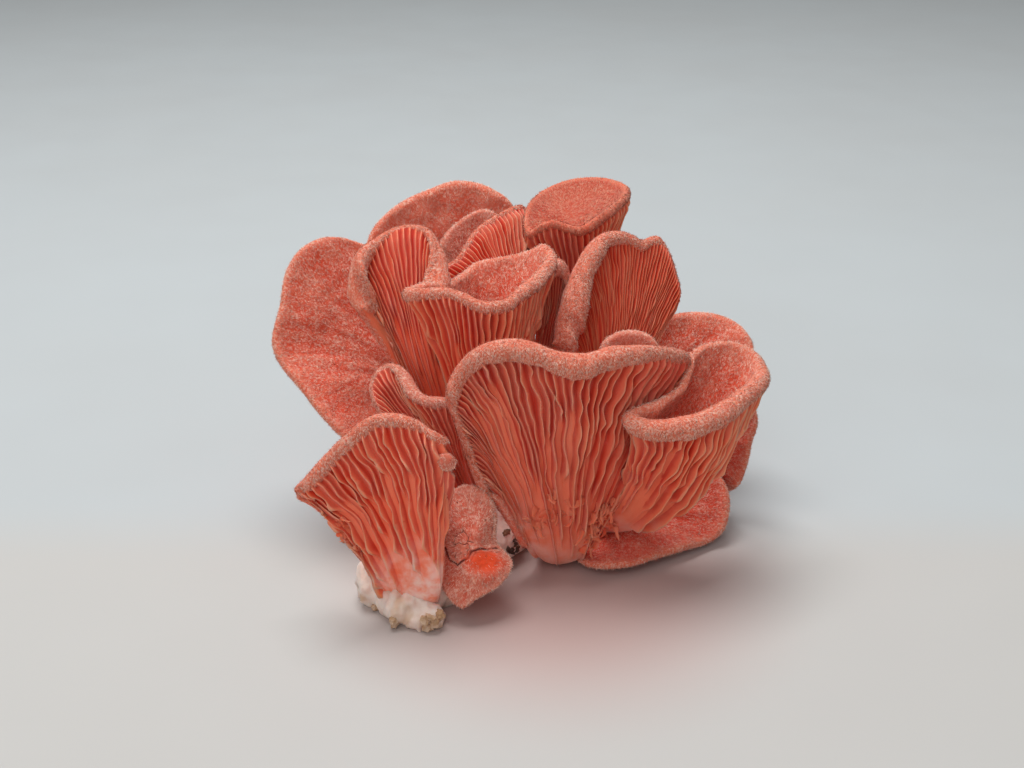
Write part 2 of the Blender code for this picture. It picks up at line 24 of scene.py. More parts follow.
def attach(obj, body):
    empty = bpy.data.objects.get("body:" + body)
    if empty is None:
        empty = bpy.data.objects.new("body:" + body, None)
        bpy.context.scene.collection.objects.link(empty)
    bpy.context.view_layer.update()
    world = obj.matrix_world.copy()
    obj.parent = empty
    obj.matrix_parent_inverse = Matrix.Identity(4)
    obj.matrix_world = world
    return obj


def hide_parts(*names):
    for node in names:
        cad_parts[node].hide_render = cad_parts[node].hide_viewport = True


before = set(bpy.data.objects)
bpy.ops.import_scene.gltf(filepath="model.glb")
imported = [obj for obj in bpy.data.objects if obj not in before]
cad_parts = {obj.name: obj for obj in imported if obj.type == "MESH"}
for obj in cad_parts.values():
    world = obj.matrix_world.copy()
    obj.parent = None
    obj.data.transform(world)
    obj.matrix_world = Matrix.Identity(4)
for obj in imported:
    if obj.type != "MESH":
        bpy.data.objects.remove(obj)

LOG = logging.getLogger("mushrooms")
MM = 0.001
BODY = "root"

Amount = float | np.ndarray                        # one number or many
Feed = float | tuple | bpy.types.NodeSocket        # what a shader socket takes


class Form(Enum):
    """What a cap's sheet closes into."""

    FAN = "an open sheet"
    FUNNEL = "a funnel with a hollow"
    CLOSED = "a funnel with a closed top"


@dataclass(frozen=True)
class View:
    """The plane the mushrooms were measured in, and the eye that looks at it."""

    tilt: float = math.radians(25)
    distance: float = 320.0
    height: float = 36.0

    @property
    def axes(self) -> np.ndarray:
        """Rows across, up and toward the eye, as world directions."""
        lean, rise = math.sin(self.tilt), math.cos(self.tilt)
        return np.array(((1.0, 0, 0), (0, lean, rise), (0, -rise, lean)))

    @property
    def eye(self) -> np.ndarray:
        """World point of the eye."""
        return self.axes[2] * self.distance + (0, 0, self.height)

    def point(self, across: Amount, up: Amount, near: Amount) -> np.ndarray:
        """World point of a place measured in the plane.

        Args:
            across: distance to the right in the plane.
            up: distance up in the plane.
            near: distance from the plane toward the eye.

        Returns:
            World points, with a last axis of three.
        """
        shrink = 1 - np.asarray(near, float) / self.distance
        local = np.stack(np.broadcast_arrays(across * shrink, up * shrink, near), axis=-1)
        return local @ self.axes + (0, 0, self.height)

    def place(self, points: np.ndarray) -> np.ndarray:
        """Where world points appear in the plane.

        Args:
            points: an array whose last axis has three places.

        Returns:
            Across, up and nearness of each.
        """
        local = (points - (0, 0, self.height)) @ self.axes.T
        shrink = 1 - local[..., 2] / self.distance
        return np.stack((local[..., 0] / shrink, local[..., 1] / shrink, local[..., 2]), axis=-1)


VIEW = View()


def seen(across: float, up: float, near: float) -> np.ndarray:
    """World point of one place measured in the viewing plane."""
    return VIEW.point(across, up, near)


def srgb(red: float, green: float, blue: float) -> tuple:
    """Linear colour with alpha, from the 0 to 255 values of a screen."""
    shares = (np.array((red, green, blue)) / 255 + 0.055) / 1.055
    return (*(float(v) for v in shares**2.4), 1.0)


def unit(vector: np.ndarray) -> np.ndarray:
    """The same directions at length one."""
    return vector / np.maximum(np.linalg.norm(vector, axis=-1, keepdims=True), 1e-9)


def ease(low: Amount, high: Amount, value: Amount) -> Amount:
    """Smooth step from 0 at low to 1 at high."""
    share = np.clip((value - low) / (high - low), 0, 1)
    return share * share * (3 - 2 * share)


def along_margin(pairs: tuple, places: np.ndarray) -> np.ndarray:
    """Values at shares of the margin, from (share, value) pairs."""
    return np.interp(places, *np.array(pairs).T)


class Noise:
    """Smooth noise from -1 to 1 that is the same each run."""

    side = 32

    def __init__(self, seed: int) -> None:
        """Draws the table of values."""
        self.values = np.random.default_rng(seed).uniform(-1, 1, (self.side,) * 3)

    def at(self, points: np.ndarray, size: float = 1.0) -> np.ndarray:
        """Noise at points.

        Args:
            points: an array whose last axis has three places.
            size: distance between two independent values.

        Returns:
            One value for each point.
        """
        place = points / size
        cell = np.floor(place).astype(int)
        share = place - cell
        share = share * share * (3 - 2 * share)
        total = np.zeros(points.shape[:-1])
        for corner in itertools.product((0, 1), repeat=3):
            weight = np.prod(np.where(corner, share, 1 - share), axis=-1)
            i, j, k = np.moveaxis((cell + corner) % self.side, -1, 0)
            total += weight * self.values[i, j, k]
        return total

    def rough(self, points: np.ndarray, size: float, octaves: int = 3) -> np.ndarray:
        """Noise summed over ever finer sizes, each half as strong."""
        return sum(self.at(points + 7.3 * k, size / 2**k) / 2**k for k in range(octaves))


@dataclass(frozen=True)
class Waves:
    """Noise that runs along the gills and changes from one to the next."""

    by_gill: float               # steps of the noise from one gill to the next
    length: float                # of a step along a spoke
    layer: float                 # keeps one use apart from another
    octaves: int = 3
    height: float = 1.0

    def at(self, noise: Noise, number: np.ndarray, run: np.ndarray) -> np.ndarray:
        """The waves' height.

        Args:
            noise: the mushroom's own noise.
            number: running gill number of each column.
            run: way along the spokes.

        Returns:
            One value for each column and row.
        """
        steps = (number * self.by_gill)[:, None], run / self.length, self.layer
        return self.height * noise.rough(np.stack(np.broadcast_arrays(*steps), axis=-1), 1.0,
                                         self.octaves)


def smooth_line(points: list, count: int, closed: bool = False) -> np.ndarray:
    """Evenly spaced points on the smooth line through the given ones.

    Args:
        points: rows of three coordinates and any number of other values.
        count: how many points are wanted.
        closed: whether the line returns to its start.

    Returns:
        One row for each point.
    """
    cuts = 12                    # between two given points
    given = np.array(points, float)
    if closed:
        line = np.vstack((given[-1:], given, given[:2]))
    else:
        line = np.vstack((2 * given[:1] - given[1:2], given, 2 * given[-1:] - given[-2:-1]))
    gaps = np.linalg.norm(np.diff(line[:, :3], axis=0), axis=1)
    place = np.concatenate(([0], np.cumsum(gaps)))
    slope = (line[2:] - line[:-2]) / (place[2:] - place[:-2])[:, None]
    fine = []
    for i in range(1, len(line) - 2):
        step = place[i + 1] - place[i]
        for s in np.linspace(0, 1, cuts, endpoint=False):
            leaving = (s**3 - 2 * s**2 + s) * step * slope[i - 1]
            arriving = (s**3 - s**2) * step * slope[i]
            share = 3 * s**2 - 2 * s**3
            fine.append((1 - share) * line[i] + leaving + share * line[i + 1] + arriving)
    fine.append(line[-2])
    fine = np.array(fine)
    steps = np.linalg.norm(np.diff(fine[:, :3], axis=0), axis=1)
    run = np.concatenate(([0], np.cumsum(steps)))
    stops = np.linspace(0, run[-1], count, endpoint=not closed)
    return np.column_stack([np.interp(stops, run, fine[:, k]) for k in range(fine.shape[1])])


@dataclass
class Sheet:
    """A cap's middle surface, sampled along the margin (u) and from root to margin (t)."""

    centre: np.ndarray
    normal: np.ndarray
    length: np.ndarray
    radius: np.ndarray
    closed: bool
    margin_length: float

    def at(self, grid: np.ndarray, u: np.ndarray, t: np.ndarray) -> np.ndarray:
        """A grid's value between its samples.

        Args:
            grid: the middle surface's centre or normal.
            u: shares of the margin.
            t: shares of the way from root to margin.

        Returns:
            One row of three for each pair.
        """
        wide, tall = grid.shape[0] - 1, grid.shape[1] - 1
        x = (u % 1.0 if self.closed else np.clip(u, 0, 1)) * wide
        y = np.clip(t, 0, 1) * tall
        i = np.minimum(x.astype(int), wide - 1)
        j = np.minimum(y.astype(int), tall - 1)
        a, b = (x - i)[..., None], (y - j)[..., None]
        near = grid[i, j] * (1 - a) + grid[i + 1, j] * a
        far = grid[i, j + 1] * (1 - a) + grid[i + 1, j + 1] * a
        return near * (1 - b) + far * b

    def line(self, values: np.ndarray, u: np.ndarray) -> np.ndarray:
        """A value kept for each place on the margin, at shares u of it."""
        share = u % 1.0 if self.closed else np.clip(u, 0, 1)
        return np.interp(share, np.linspace(0, 1, len(values)), values)

    def edge(self, places: np.ndarray, taper: float) -> np.ndarray:
        """How full the sheet is beside its open sides, a column of shares."""
        turn = np.ones(len(places)) if self.closed else np.sin(math.pi * places)
        return np.minimum(1, taper * turn)[:, None]

    def chart(self, u: np.ndarray, run: np.ndarray) -> np.ndarray:
        """Points for noise that runs on over the sheet.

        Args:
            u: shares of the margin.
            run: way along the spokes.

        Returns:
            Points on a tube for a funnel and on a plane for a fan.
        """
        if self.closed:
            around, size = 2 * math.pi * u, self.margin_length / 2 / math.pi
            return np.stack((size * np.cos(around), size * np.sin(around), run), axis=-1)
        return np.stack(np.broadcast_arrays(u * self.margin_length, run, 0.0), axis=-1)


@dataclass
class MeshData:
    """Corners, faces and per-corner values of a mesh being put together."""

    corners: list = field(default_factory=list)
    faces: list = field(default_factory=list)
    values: dict = field(default_factory=dict)
    normals: list = field(default_factory=list)
    count: int = 0

    def add(self, corners: np.ndarray, **values: Amount) -> np.ndarray:
        """Adds corners.

        Args:
            corners: an array whose last axis has three places.
            values: name to the value of each corner.

        Returns:
            The corners' numbers, in the same shape.
        """
        shape = corners.shape[:-1]
        number = int(np.prod(shape))
        self.corners.append(corners.reshape(-1, 3))
        for name, value in values.items():
            full = np.broadcast_to(value, shape).reshape(-1)
            self.values.setdefault(name, []).append((self.count, full))
        self.count += number
        return (np.arange(number) + self.count - number).reshape(shape)

    def strip(self, grid: np.ndarray, closed: bool = False, flip: bool = False) -> None:
        """Joins a grid of corners with four-sided faces.

        Args:
            grid: numbers of the corners.
            closed: whether the last column joins the first.
            flip: whether the faces look the other way.
        """
        if closed:
            grid = np.concatenate((grid, grid[:1]))
        quads = np.stack((grid[:-1, :-1], grid[1:, :-1], grid[1:, 1:], grid[:-1, 1:]), axis=-1)
        quads = quads.reshape(-1, 4)
        self.faces.extend((quads[:, ::-1] if flip else quads).tolist())

    def fan(self, middle: int, ring: np.ndarray, flip: bool = False) -> None:
        """Joins a ring of corners, in order, to one in its middle; flip turns the faces over."""
        for here, beyond in zip(ring.tolist(), np.roll(ring, -1).tolist()):
            self.faces.append([middle, beyond, here] if flip else [middle, here, beyond])

    def make(self, name: str) -> bpy.types.Object:
        """The mesh as a smooth object in metres.

        Args:
            name: of the object and its mesh.

        Returns:
            The object, with its own normals where it has them.
        """
        mesh = bpy.data.meshes.new(name)
        corners = np.concatenate(self.corners) * MM
        corners[:, 2] = np.maximum(corners[:, 2], 0)
        mesh.from_pydata(corners, [], self.faces)
        for key, parts in self.values.items():
            full = np.zeros(self.count, np.float32)
            for start, value in parts:
                full[start:start + len(value)] = value
            mesh.attributes.new(key, "FLOAT", "POINT").data.foreach_set("value", full)
        mesh.shade_smooth()
        if self.normals:
            mesh.normals_split_custom_set_from_vertices(np.concatenate(self.normals))
        return put(name, mesh)


def put(name: str, data: bpy.types.ID) -> bpy.types.Object:
    """A new object in the scene.

    Args:
        name: of the object.
        data: its mesh, lamp or camera.

    Returns:
        The object.
    """
    thing = bpy.data.objects.new(name, data)
    bpy.context.scene.collection.objects.link(thing)
    return thing


def settle(thing: bpy.types.Object) -> None:
    """Puts what an object's modifiers make in place of its mesh.

    Args:
        thing: the object, left without modifiers.
    """
    before = thing.data
    bpy.context.view_layer.update()
    solved = thing.evaluated_get(bpy.context.evaluated_depsgraph_get())
    thing.data = bpy.data.meshes.new_from_object(solved)
    thing.modifiers.clear()
    bpy.data.meshes.remove(before)
    thing.data.name = thing.name


def show(thing: bpy.types.Object, node: str, material: bpy.types.Material) -> None:
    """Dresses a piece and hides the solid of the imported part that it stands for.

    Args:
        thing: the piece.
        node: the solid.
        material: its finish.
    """
    thing.data.materials.clear()
    thing.data.materials.append(material)
    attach(thing, BODY)
    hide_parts(node)
    LOG.info("%s: %d faces", thing.name, len(thing.data.polygons))


@dataclass(frozen=True)
class Mark:
    """A flaw in the skin, at a place in the viewing plane, pressed away from the eye.

    Each kind has a method, work, that takes world points and gives how far each is pushed and
    how strongly it is toned.
    """

    tones = "dark"               # the value that it raises; dark is painted shade in the cracks

    def stray(self, corners: np.ndarray, jag: Noise, size: float, reach: float) -> np.ndarray:
        """Places in the viewing plane, pushed about so that no edge through them is even."""
        wander = np.stack((jag.at(corners, size), jag.at(corners + 9, size)), axis=-1)
        return VIEW.place(corners)[..., :2] + reach * wander

    def press(self, corners: np.ndarray, values: dict) -> tuple:
        """Moves the corners away from the eye and tones them.

        Args:
            corners: world points of the upper side.
            values: what is known of each.

        Returns:
            The moved corners and all values.
        """
        push, share = self.work(corners)
        toned = np.maximum(values.get(self.tones, 0.0), share)
        return corners - push[..., None] * VIEW.axes[2], dict(values, **{self.tones: toned})


@dataclass(frozen=True)
class Crack(Mark):
    """A crack along a line, with raised lips and painted shade in it."""

    line: tuple                  # (across, up) of its points
    width: float = 0.22
    depth: float = 0.6
    lip: float = 0.25            # share of the depth
    seed: int = 5

    def work(self, corners: np.ndarray) -> tuple:
        """Opens the crack.

        Args:
            corners: world points of the upper side.

        Returns:
            How far each is pushed, and how strongly it is toned.
        """
        jag = Noise(self.seed)
        place = self.stray(corners, jag, 1.3, 0.3)
        points = np.array(self.line, float)
        nearest = np.full(place.shape[:-1], np.inf)
        for start, end in zip(points[:-1], points[1:]):
            way = end - start
            share = np.clip(((place - start) @ way) / (way @ way), 0, 1)
            off = place - start - share[..., None] * way
            nearest = np.minimum(nearest, np.linalg.norm(off, axis=-1))
        strength = np.exp(-(nearest / self.width)**2) * ease(-0.75, 0.1, jag.at(corners + 4, 1.1))
        lips = self.lip * np.exp(-((nearest - 2.2 * self.width) / self.width)**2)
        # The second value is the painted shade in the crack.
        return (strength - lips) * self.depth, strength


@dataclass(frozen=True)
class Crazing(Mark):
    """A patch of dry skin broken into small flakes, with painted shade in the gaps."""

    centre: tuple                # (across, up)
    radii: tuple
    flake: float = 2.5
    width: float = 0.08
    depth: float = 0.35
    # tone: how dark the painted shade in the gaps is
    tone: float = 0.8
    seed: int = 8

    def work(self, corners: np.ndarray) -> tuple:
        """Opens the gaps between the flakes.

        Args:
            corners: world points of the upper side.

        Returns:
            How far each is pushed, and how strongly it is toned.
        """
        jag = Noise(self.seed)
        place = self.stray(corners, jag, 0.9, 0.6)
        draw = np.random.default_rng(self.seed)
        low = np.array(self.centre) - self.radii - self.flake
        steps = np.ceil(2 * (np.array(self.radii) + self.flake) / self.flake).astype(int)
        seeds = np.stack(np.meshgrid(*(np.arange(n) for n in steps), indexing="ij"), axis=-1)
        seeds = low + self.flake * (seeds + draw.uniform(0.1, 0.9, seeds.shape))
        gaps = np.linalg.norm(place[..., None, :] - seeds.reshape(-1, 2), axis=-1)
        near = np.partition(gaps, 1, axis=-1)[..., :2]
        out = np.linalg.norm((place - self.centre) / self.radii, axis=-1)
        strength = np.exp(-((near[..., 1] - near[..., 0]) / (2 * self.width))**2)
        strength = strength * (1 - ease(0.6, 1.0, out)) * ease(-0.2, 0.5, jag.at(corners + 4, 1.6))
        # The second value is the painted shade in the gaps.
        return strength * self.depth, self.tone * strength


@dataclass(frozen=True)
class Dent(Mark):
    """A shallow raw hollow with a thin raised edge."""

    centre: tuple                # (across, up)
    radii: tuple
    depth: float = 1.2
    edge: float = 0.35
    seed: int = 6

    tones = "raw"

    def work(self, corners: np.ndarray) -> tuple:
        """Sinks the hollow and bares it.

        Args:
            corners: world points of the upper side.

        Returns:
            How far each is pushed, and how strongly it is toned.
        """
        place = (VIEW.place(corners)[..., :2] - self.centre) / self.radii
        out = np.linalg.norm(place, axis=-1) * (1 + 0.12 * Noise(self.seed).at(corners, 2.2))
        hollow = 1 - ease(0.2, 1.2, out)
        lip = np.exp(-((out - 1.08) / 0.14)**2)
        return self.depth * hollow - self.edge * lip, 1 - ease(0.3, 1.15, out)


@dataclass(frozen=True)
class Down:
    """Fine hairs that cover the upper side and the rim; pairs are for these two."""

    density: tuple = (13.0, 21.0)     # hairs on a square millimetre
    shortest: tuple = (0.40, 0.35)
    longest: tuple = (0.90, 0.75)
    width: tuple = (0.13, 0.16)
    stand: tuple = (0.18, 0.26)       # 0 lies along the sheet, 1 stands straight up
    stray: tuple = (0.20, 0.24)
    bloom: tuple = (0.96, 1.2)        # how readily they look pale
    rooted: float = 0.06              # how deep they start
    twist: float = 0.6                # how freely they turn about themselves
    scatter: float = 0.35             # how freely they catch the light
    most: int = 50                    # hairs on one face

    def grow(self, name: str, grids: tuple, seed: int) -> bpy.types.Object:
        """Makes the hairs on grids of corners.

        Args:
            name: of the new object.
            grids: what lay_under and lay_upper give back for the down.
            seed: of its random places.

        Returns:
            The object, one tapered face for each hair.
        """
        draw = np.random.default_rng(seed + 100)
        corners, tips, shades, normals = [], [], [], []
        for grid in grids:
            kind = int(grid["rim"])
            at, share, streak = grid["corners"], grid["share"], grid["streak"]
            if grid["closed"]:
                at, share, streak = (np.concatenate((g, g[:1])) for g in (at, share, streak))
            a, b, c, d = at[:-1, :-1], at[1:, :-1], at[1:, 1:], at[:-1, 1:]
            normal = np.cross(c - a, d - b) * (1 if grid["rim"] else -1)
            area = np.linalg.norm(normal, axis=-1) / 2
            number = area * share[:-1, :-1] * self.density[kind]
            count = draw.poisson(np.clip(number, 0, self.most)).ravel()
            pick = np.repeat(np.arange(count.size), count)
            x, y = draw.random((2, len(pick), 1))
            a, b, c, d, normal = (g.reshape(-1, 3)[pick] for g in (a, b, c, d, normal))
            root = (a * (1 - x) + b * x) * (1 - y) + (d * (1 - x) + c * x) * y
            normal = unit(normal)
            flow = (d - a) * (-1 if grid["rim"] else 1)
            stray = draw.normal(size=(len(pick), 3)) * self.stray[kind]
            stand = self.stand[kind]
            way = unit(stand * normal + (1 - stand) * unit(flow) + stray)
            length = draw.uniform(self.shortest[kind], self.longest[kind], (len(pick), 1))
            side = unit(np.cross(way, normal + self.twist * draw.normal(size=(len(pick), 3))))
            side = side * self.width[kind] / 2
            root = root - self.rooted * normal
            corners.append(np.stack((root - side, root + side, root + way * length), axis=1))
            tips.append(np.tile((0.0, 0.0, 1.0), (len(pick), 1)))
            normals.append(unit(normal + self.scatter * draw.normal(size=(len(pick), 3))))
            patch = 0.5 + 0.6 * streak[:-1, :-1].reshape(-1, 1)[pick]
            # Hairs on flesh that faces up are paler and those facing down darker: painted light from
            # above.
            painted_top_light = 0.5 + 0.5 * ease(-0.6, 0.5, normal[:, 2:])
            shade = (0.8 * draw.random((len(pick), 1)) + 0.2 * patch) * painted_top_light * self.bloom[kind]
            shades.append(np.repeat(shade, 3, axis=1))
        data = MeshData()
        index = data.add(np.concatenate(corners), tip=np.concatenate(tips),
                         shade=np.concatenate(shades))
        data.faces = index.tolist()
        data.normals = [np.repeat(np.concatenate(normals), 3, axis=0)]
        return data.make(name)


class Graph:
    """A node tree being laid out, with short calls for the nodes used here."""

    def __init__(self, tree: bpy.types.NodeTree) -> None:
        """Keeps the tree."""
        self.tree = tree

    def node(self, kind: str, inputs: dict = None, **settings: object) -> bpy.types.Node:
        """Adds a node.

        Args:
            kind: its type.
            inputs: socket name or number to a value or to another node's output.
            settings: other properties of the node.

        Returns:
            The new node.
        """
        node = self.tree.nodes.new(kind)
        for key, value in settings.items():
            setattr(node, key, value)
        for key, value in (inputs or {}).items():
            self.plug(node.inputs[key], value)
        return node

    def plug(self, socket: bpy.types.NodeSocket, value: Feed) -> None:
        """Feeds a socket.

        Args:
            socket: the input.
            value: an output to link to it, or what to set it to.
        """
        if isinstance(value, bpy.types.NodeSocket):
            self.tree.links.new(value, socket)
        else:
            socket.default_value = value

    def value(self, name: str) -> bpy.types.NodeSocket:
        """A value kept for each corner of the mesh."""
        return self.node("ShaderNodeAttribute", attribute_name=name).outputs["Fac"]

    def place(self) -> bpy.types.NodeSocket:
        """Where a point of the piece is, in metres."""
        return self.node("ShaderNodeTexCoord").outputs["Object"]

    def maths(self, operation: str, *values: Feed) -> bpy.types.NodeSocket:
        """One sum on one to three values."""
        return self.node("ShaderNodeMath", dict(enumerate(values)), operation=operation).outputs[0]

    def times(self, first: Feed, second: Feed) -> bpy.types.NodeSocket:
        """The product of two values."""
        return self.maths("MULTIPLY", first, second)

    def span(self, value: Feed, low: float, high: float, to_low: float = 0.0,
             to_high: float = 1.0) -> bpy.types.NodeSocket:
        """A value eased from one span to another."""
        return self.node("ShaderNodeMapRange", {0: value, 1: low, 2: high, 3: to_low, 4: to_high},
                         interpolation_type="SMOOTHSTEP").outputs[0]

    def mix(self, share: Feed, first: Feed, second: Feed) -> bpy.types.NodeSocket:
        """Two colours mixed."""
        return self.node("ShaderNodeMix", {0: share, 6: first, 7: second},
                         data_type="RGBA").outputs[2]

    def noise(self, scale: Feed, detail: float = 3.0, roughness: float = 0.6) -> bpy.types.NodeSocket:
        """Cloudy noise on the piece, scale in waves per metre."""
        return self.node("ShaderNodeTexNoise", {"Vector": self.place(), "Scale": scale,
                                                "Detail": detail, "Roughness": roughness}).outputs[0]

    def group(self, effect: Enum, **inputs: Feed) -> bpy.types.Node:
        """One of the shared effects.

        Args:
            effect: which one.
            inputs: its inputs.

        Returns:
            The group's node.
        """
        node = self.tree.nodes.new("ShaderNodeGroup")
        node.node_tree = bpy.data.node_groups[effect.value]
        for key, value in inputs.items():
            self.plug(node.inputs[key], value)
        return node


class Surface(Graph):
    """A material's nodes, round the shader it starts with."""

    def __init__(self, name: str) -> None:
        """Makes the material.

        Args:
            name: of the material.
        """
        self.material = bpy.data.materials.new(name)
        self.material.use_nodes = True
        super().__init__(self.material.node_tree)
        self.shader = self.tree.nodes["Principled BSDF"]

    def wear(self, **outputs: bpy.types.NodeSocket) -> None:
        """Feeds the shader what changes over the surface."""
        for name, value in outputs.items():
            self.plug(self.shader.inputs[name.replace("_", " ")], value)

    def fix(self, **constants: float | tuple) -> None:
        """Sets on the shader what is the same all over."""
        for name, value in constants.items():
            self.shader.inputs[name.replace("_", " ")].default_value = value

    def bump(self, height: bpy.types.NodeSocket, distance: float, strength: float) -> None:
        """Raises the surface by a height, over a distance in metres."""
        node = self.node("ShaderNodeBump", {"Height": height, "Distance": distance,
                                            "Strength": strength})
        self.wear(Normal=node.outputs[0])


class Effects(Enum):
    """The shared shader effects, by the name of their node group."""

    DOWN = "down speckle"
    BLOTCHES = "tone blotches"
    GILLS = "gill tone"

    def start(self, inputs: dict, outputs: dict) -> tuple:
        """An empty group with its sockets.

        Args:
            inputs: name to its default, a number or a colour.
            outputs: name to True where it is a colour.

        Returns:
            The graph, the group's input sockets and its output node's.
        """
        tree = bpy.data.node_groups.new(self.value, "ShaderNodeTree")
        for name, value in inputs.items():
            kind = "NodeSocketColor" if isinstance(value, tuple) else "NodeSocketFloat"
            tree.interface.new_socket(name, in_out="INPUT", socket_type=kind).default_value = value
        for name, coloured in outputs.items():
            kind = "NodeSocketColor" if coloured else "NodeSocketFloat"
            tree.interface.new_socket(name, in_out="OUTPUT", socket_type=kind)
        graph = Graph(tree)
        return graph, graph.node("NodeGroupInput").outputs, graph.node("NodeGroupOutput").inputs

    @classmethod
    def make_all(cls) -> None:
        """Makes every group once."""
        cls.DOWN.make_down()
        cls.BLOTCHES.make_blotches()
        cls.GILLS.make_gills()

    def make_down(self) -> None:
        """Pale specks of down over a colour, and their height."""
        graph, given, out = self.start(
            {"Colour": srgb(200, 110, 90), "Pale": srgb(235, 180, 165), "Amount": 0.6, "Scale": 1800.0},
            {"Colour": True, "Height": False})
        fine = graph.noise(given["Scale"], 2.0, 0.7)
        coarse = graph.noise(graph.times(given["Scale"], 0.21), 2.0)
        specks = graph.span(fine, 0.42, 0.72)
        patchy = graph.span(coarse, 0.3, 0.75, 0.35, 1.0)
        share = graph.times(graph.times(specks, patchy), given["Amount"])
        graph.plug(out["Colour"], graph.mix(share, given["Colour"], given["Pale"]))
        graph.plug(out["Height"], specks)

    def make_blotches(self) -> None:
        """Soft patches of a deeper colour."""
        graph, given, out = self.start(
            {"Colour": srgb(200, 100, 80), "Deep": srgb(190, 70, 45), "Amount": 0.7, "Scale": 180.0},
            {"Colour": True, "Mask": False})
        cloud = graph.span(graph.noise(given["Scale"], 4.0, 0.65), 0.42, 0.66)
        share = graph.times(cloud, given["Amount"])
        graph.plug(out["Colour"], graph.mix(share, given["Colour"], given["Deep"]))
        graph.plug(out["Mask"], cloud)

    def make_gills(self) -> None:
        """Gills: painted deep red shade between them, salmon on their sides, paler along their edges.
        """
        graph, given, out = self.start(
            {"Crest": 0.0, "Sunk": 0.5, "Streak": 0.0, "Valley": srgb(175, 45, 22),
             "Flank": srgb(200, 90, 68), "Edge": srgb(226, 140, 120)},
            {"Colour": True})
        low = graph.span(given["Sunk"], 0.15, 0.85, 1.0, 0.0)
        high = graph.span(given["Crest"], 0.76, 0.97, 0.0, 0.95)
        # Painted shade: the valley colour where the gill side sinks between gills.
        body = graph.mix(low, given["Valley"], given["Flank"])
        streak = graph.span(given["Streak"], -1.0, 1.0, 0.0, 0.35)
        body = graph.mix(streak, body, given["Edge"])
        graph.plug(out["Colour"], graph.mix(high, body, given["Edge"]))


@dataclass(frozen=True)
class Flesh:
    """Finish of one kind of cap."""

    name: str
    skin: tuple = srgb(228, 110, 84)         # upper side under its down
    deep: tuple = srgb(222, 78, 46)          # patches where the down is thin
    pale: tuple = srgb(255, 224, 204)        # the down
    rim: tuple = srgb(222, 108, 78)
    edge: tuple = srgb(255, 160, 128)        # of a gill
    flank: tuple = srgb(238, 116, 82)
    # valley is painted shade and deep red glow between the gills
    valley: tuple = srgb(202, 44, 18)
    stem: tuple = srgb(240, 170, 154)
    glow: tuple = srgb(214, 50, 22)          # painted red glow of light through thin flesh, deep in the gills
    raw: tuple = srgb(236, 76, 30)
    dark: tuple = srgb(120, 40, 28)          # painted shade deep in the cracks
    sheen: tuple = srgb(255, 215, 200)
    speckle: float = 0.55
    patches: float = 0.8
    down: Down = Down()

    def material(self) -> bpy.types.Material:
        """Skin, gills, rim and stem in one finish, told apart by the values on the mesh.

        Returns:
            The material, made on the first call.
        """
        known = bpy.data.materials.get(self.name)
        if known:
            return known
        flesh = Surface(self.name)
        stalk, band, under, streak = map(flesh.value, ("stalk", "band", "under", "streak"))
        gills = flesh.group(Effects.GILLS, Crest=flesh.value("crest"), Sunk=flesh.value("sunk"),
                            Streak=streak, Valley=self.valley, Flank=self.flank, Edge=self.edge)
        blotches = flesh.group(Effects.BLOTCHES, Colour=self.skin, Deep=self.deep,
                               Amount=self.patches, Scale=170.0)
        streaked = flesh.mix(flesh.span(streak, -0.8, 0.1, 0.8, 0.0), blotches.outputs["Colour"],
                             self.deep)
        skin = flesh.group(Effects.DOWN, Colour=streaked, Pale=self.pale, Amount=self.speckle,
                           Scale=1500.0)
        rim = flesh.group(Effects.DOWN, Colour=self.rim, Pale=self.pale, Amount=0.75, Scale=1900.0)
        colour = flesh.mix(under, skin.outputs["Colour"], gills.outputs["Colour"])
        # Painted red glow and shade: deep red where the mesh's glow value is set.
        colour = flesh.mix(flesh.times(flesh.value("glow"), 0.75), colour, self.glow)
        colour = flesh.mix(band, colour, rim.outputs["Colour"])
        stem = flesh.mix(flesh.span(flesh.noise(260.0), 0.35, 0.7), self.stem, self.flank)
        colour = flesh.mix(stalk, colour, stem)
        # Raw flesh in the dents, and painted shade in the cracks.
        for key, tone in (("raw", self.raw), ("dark", self.dark)):
            colour = flesh.mix(flesh.value(key), colour, tone)
        fuzzy = flesh.maths("MAXIMUM", band, flesh.maths("SUBTRACT", 1.0, under))
        flesh.wear(Base_Color=colour, Roughness=flesh.span(fuzzy, 0.0, 1.0, 0.48, 0.85))
        grain = flesh.times(flesh.noise(2600.0, 3.0, 0.7), 0.35)
        fibre = flesh.times(flesh.noise(700.0, 3.0, 0.6), 0.5)
        specks = flesh.times(skin.outputs["Height"], fuzzy)
        flesh.bump(flesh.maths("ADD", grain, flesh.maths("ADD", fibre, specks)), 0.00012, 0.7)
        flesh.fix(Subsurface_Weight=0.35, Subsurface_Radius=(1.0, 0.32, 0.18),
                  Subsurface_Scale=0.0018, Specular_IOR_Level=0.35, Sheen_Weight=0.45,
                  Sheen_Roughness=0.5, Sheen_Tint=self.sheen)
        return flesh.material

    def down_material(self) -> bpy.types.Material:
        """Hairs, flesh coloured at the root and pale at the tip.

        Returns:
            The material, made on the first call.
        """
        name = self.name + " down"
        known = bpy.data.materials.get(name)
        if known:
            return known
        hair = Surface(name)
        tip = hair.span(hair.value("tip"), 0.0, 0.8, 0.3, 1.0)
        root = hair.mix(hair.span(hair.noise(170.0, 4.0, 0.65), 0.4, 0.66), self.rim, self.skin)
        shade = hair.span(hair.value("shade"), 0.14, 0.42, 0.05, 1.0)
        hair.wear(Base_Color=hair.mix(hair.times(tip, shade), root, self.pale),
                  Roughness=hair.span(tip, 0.0, 1.0, 0.8, 0.65))
        hair.fix(Specular_IOR_Level=0.25, Subsurface_Weight=0.0)
        return hair.material


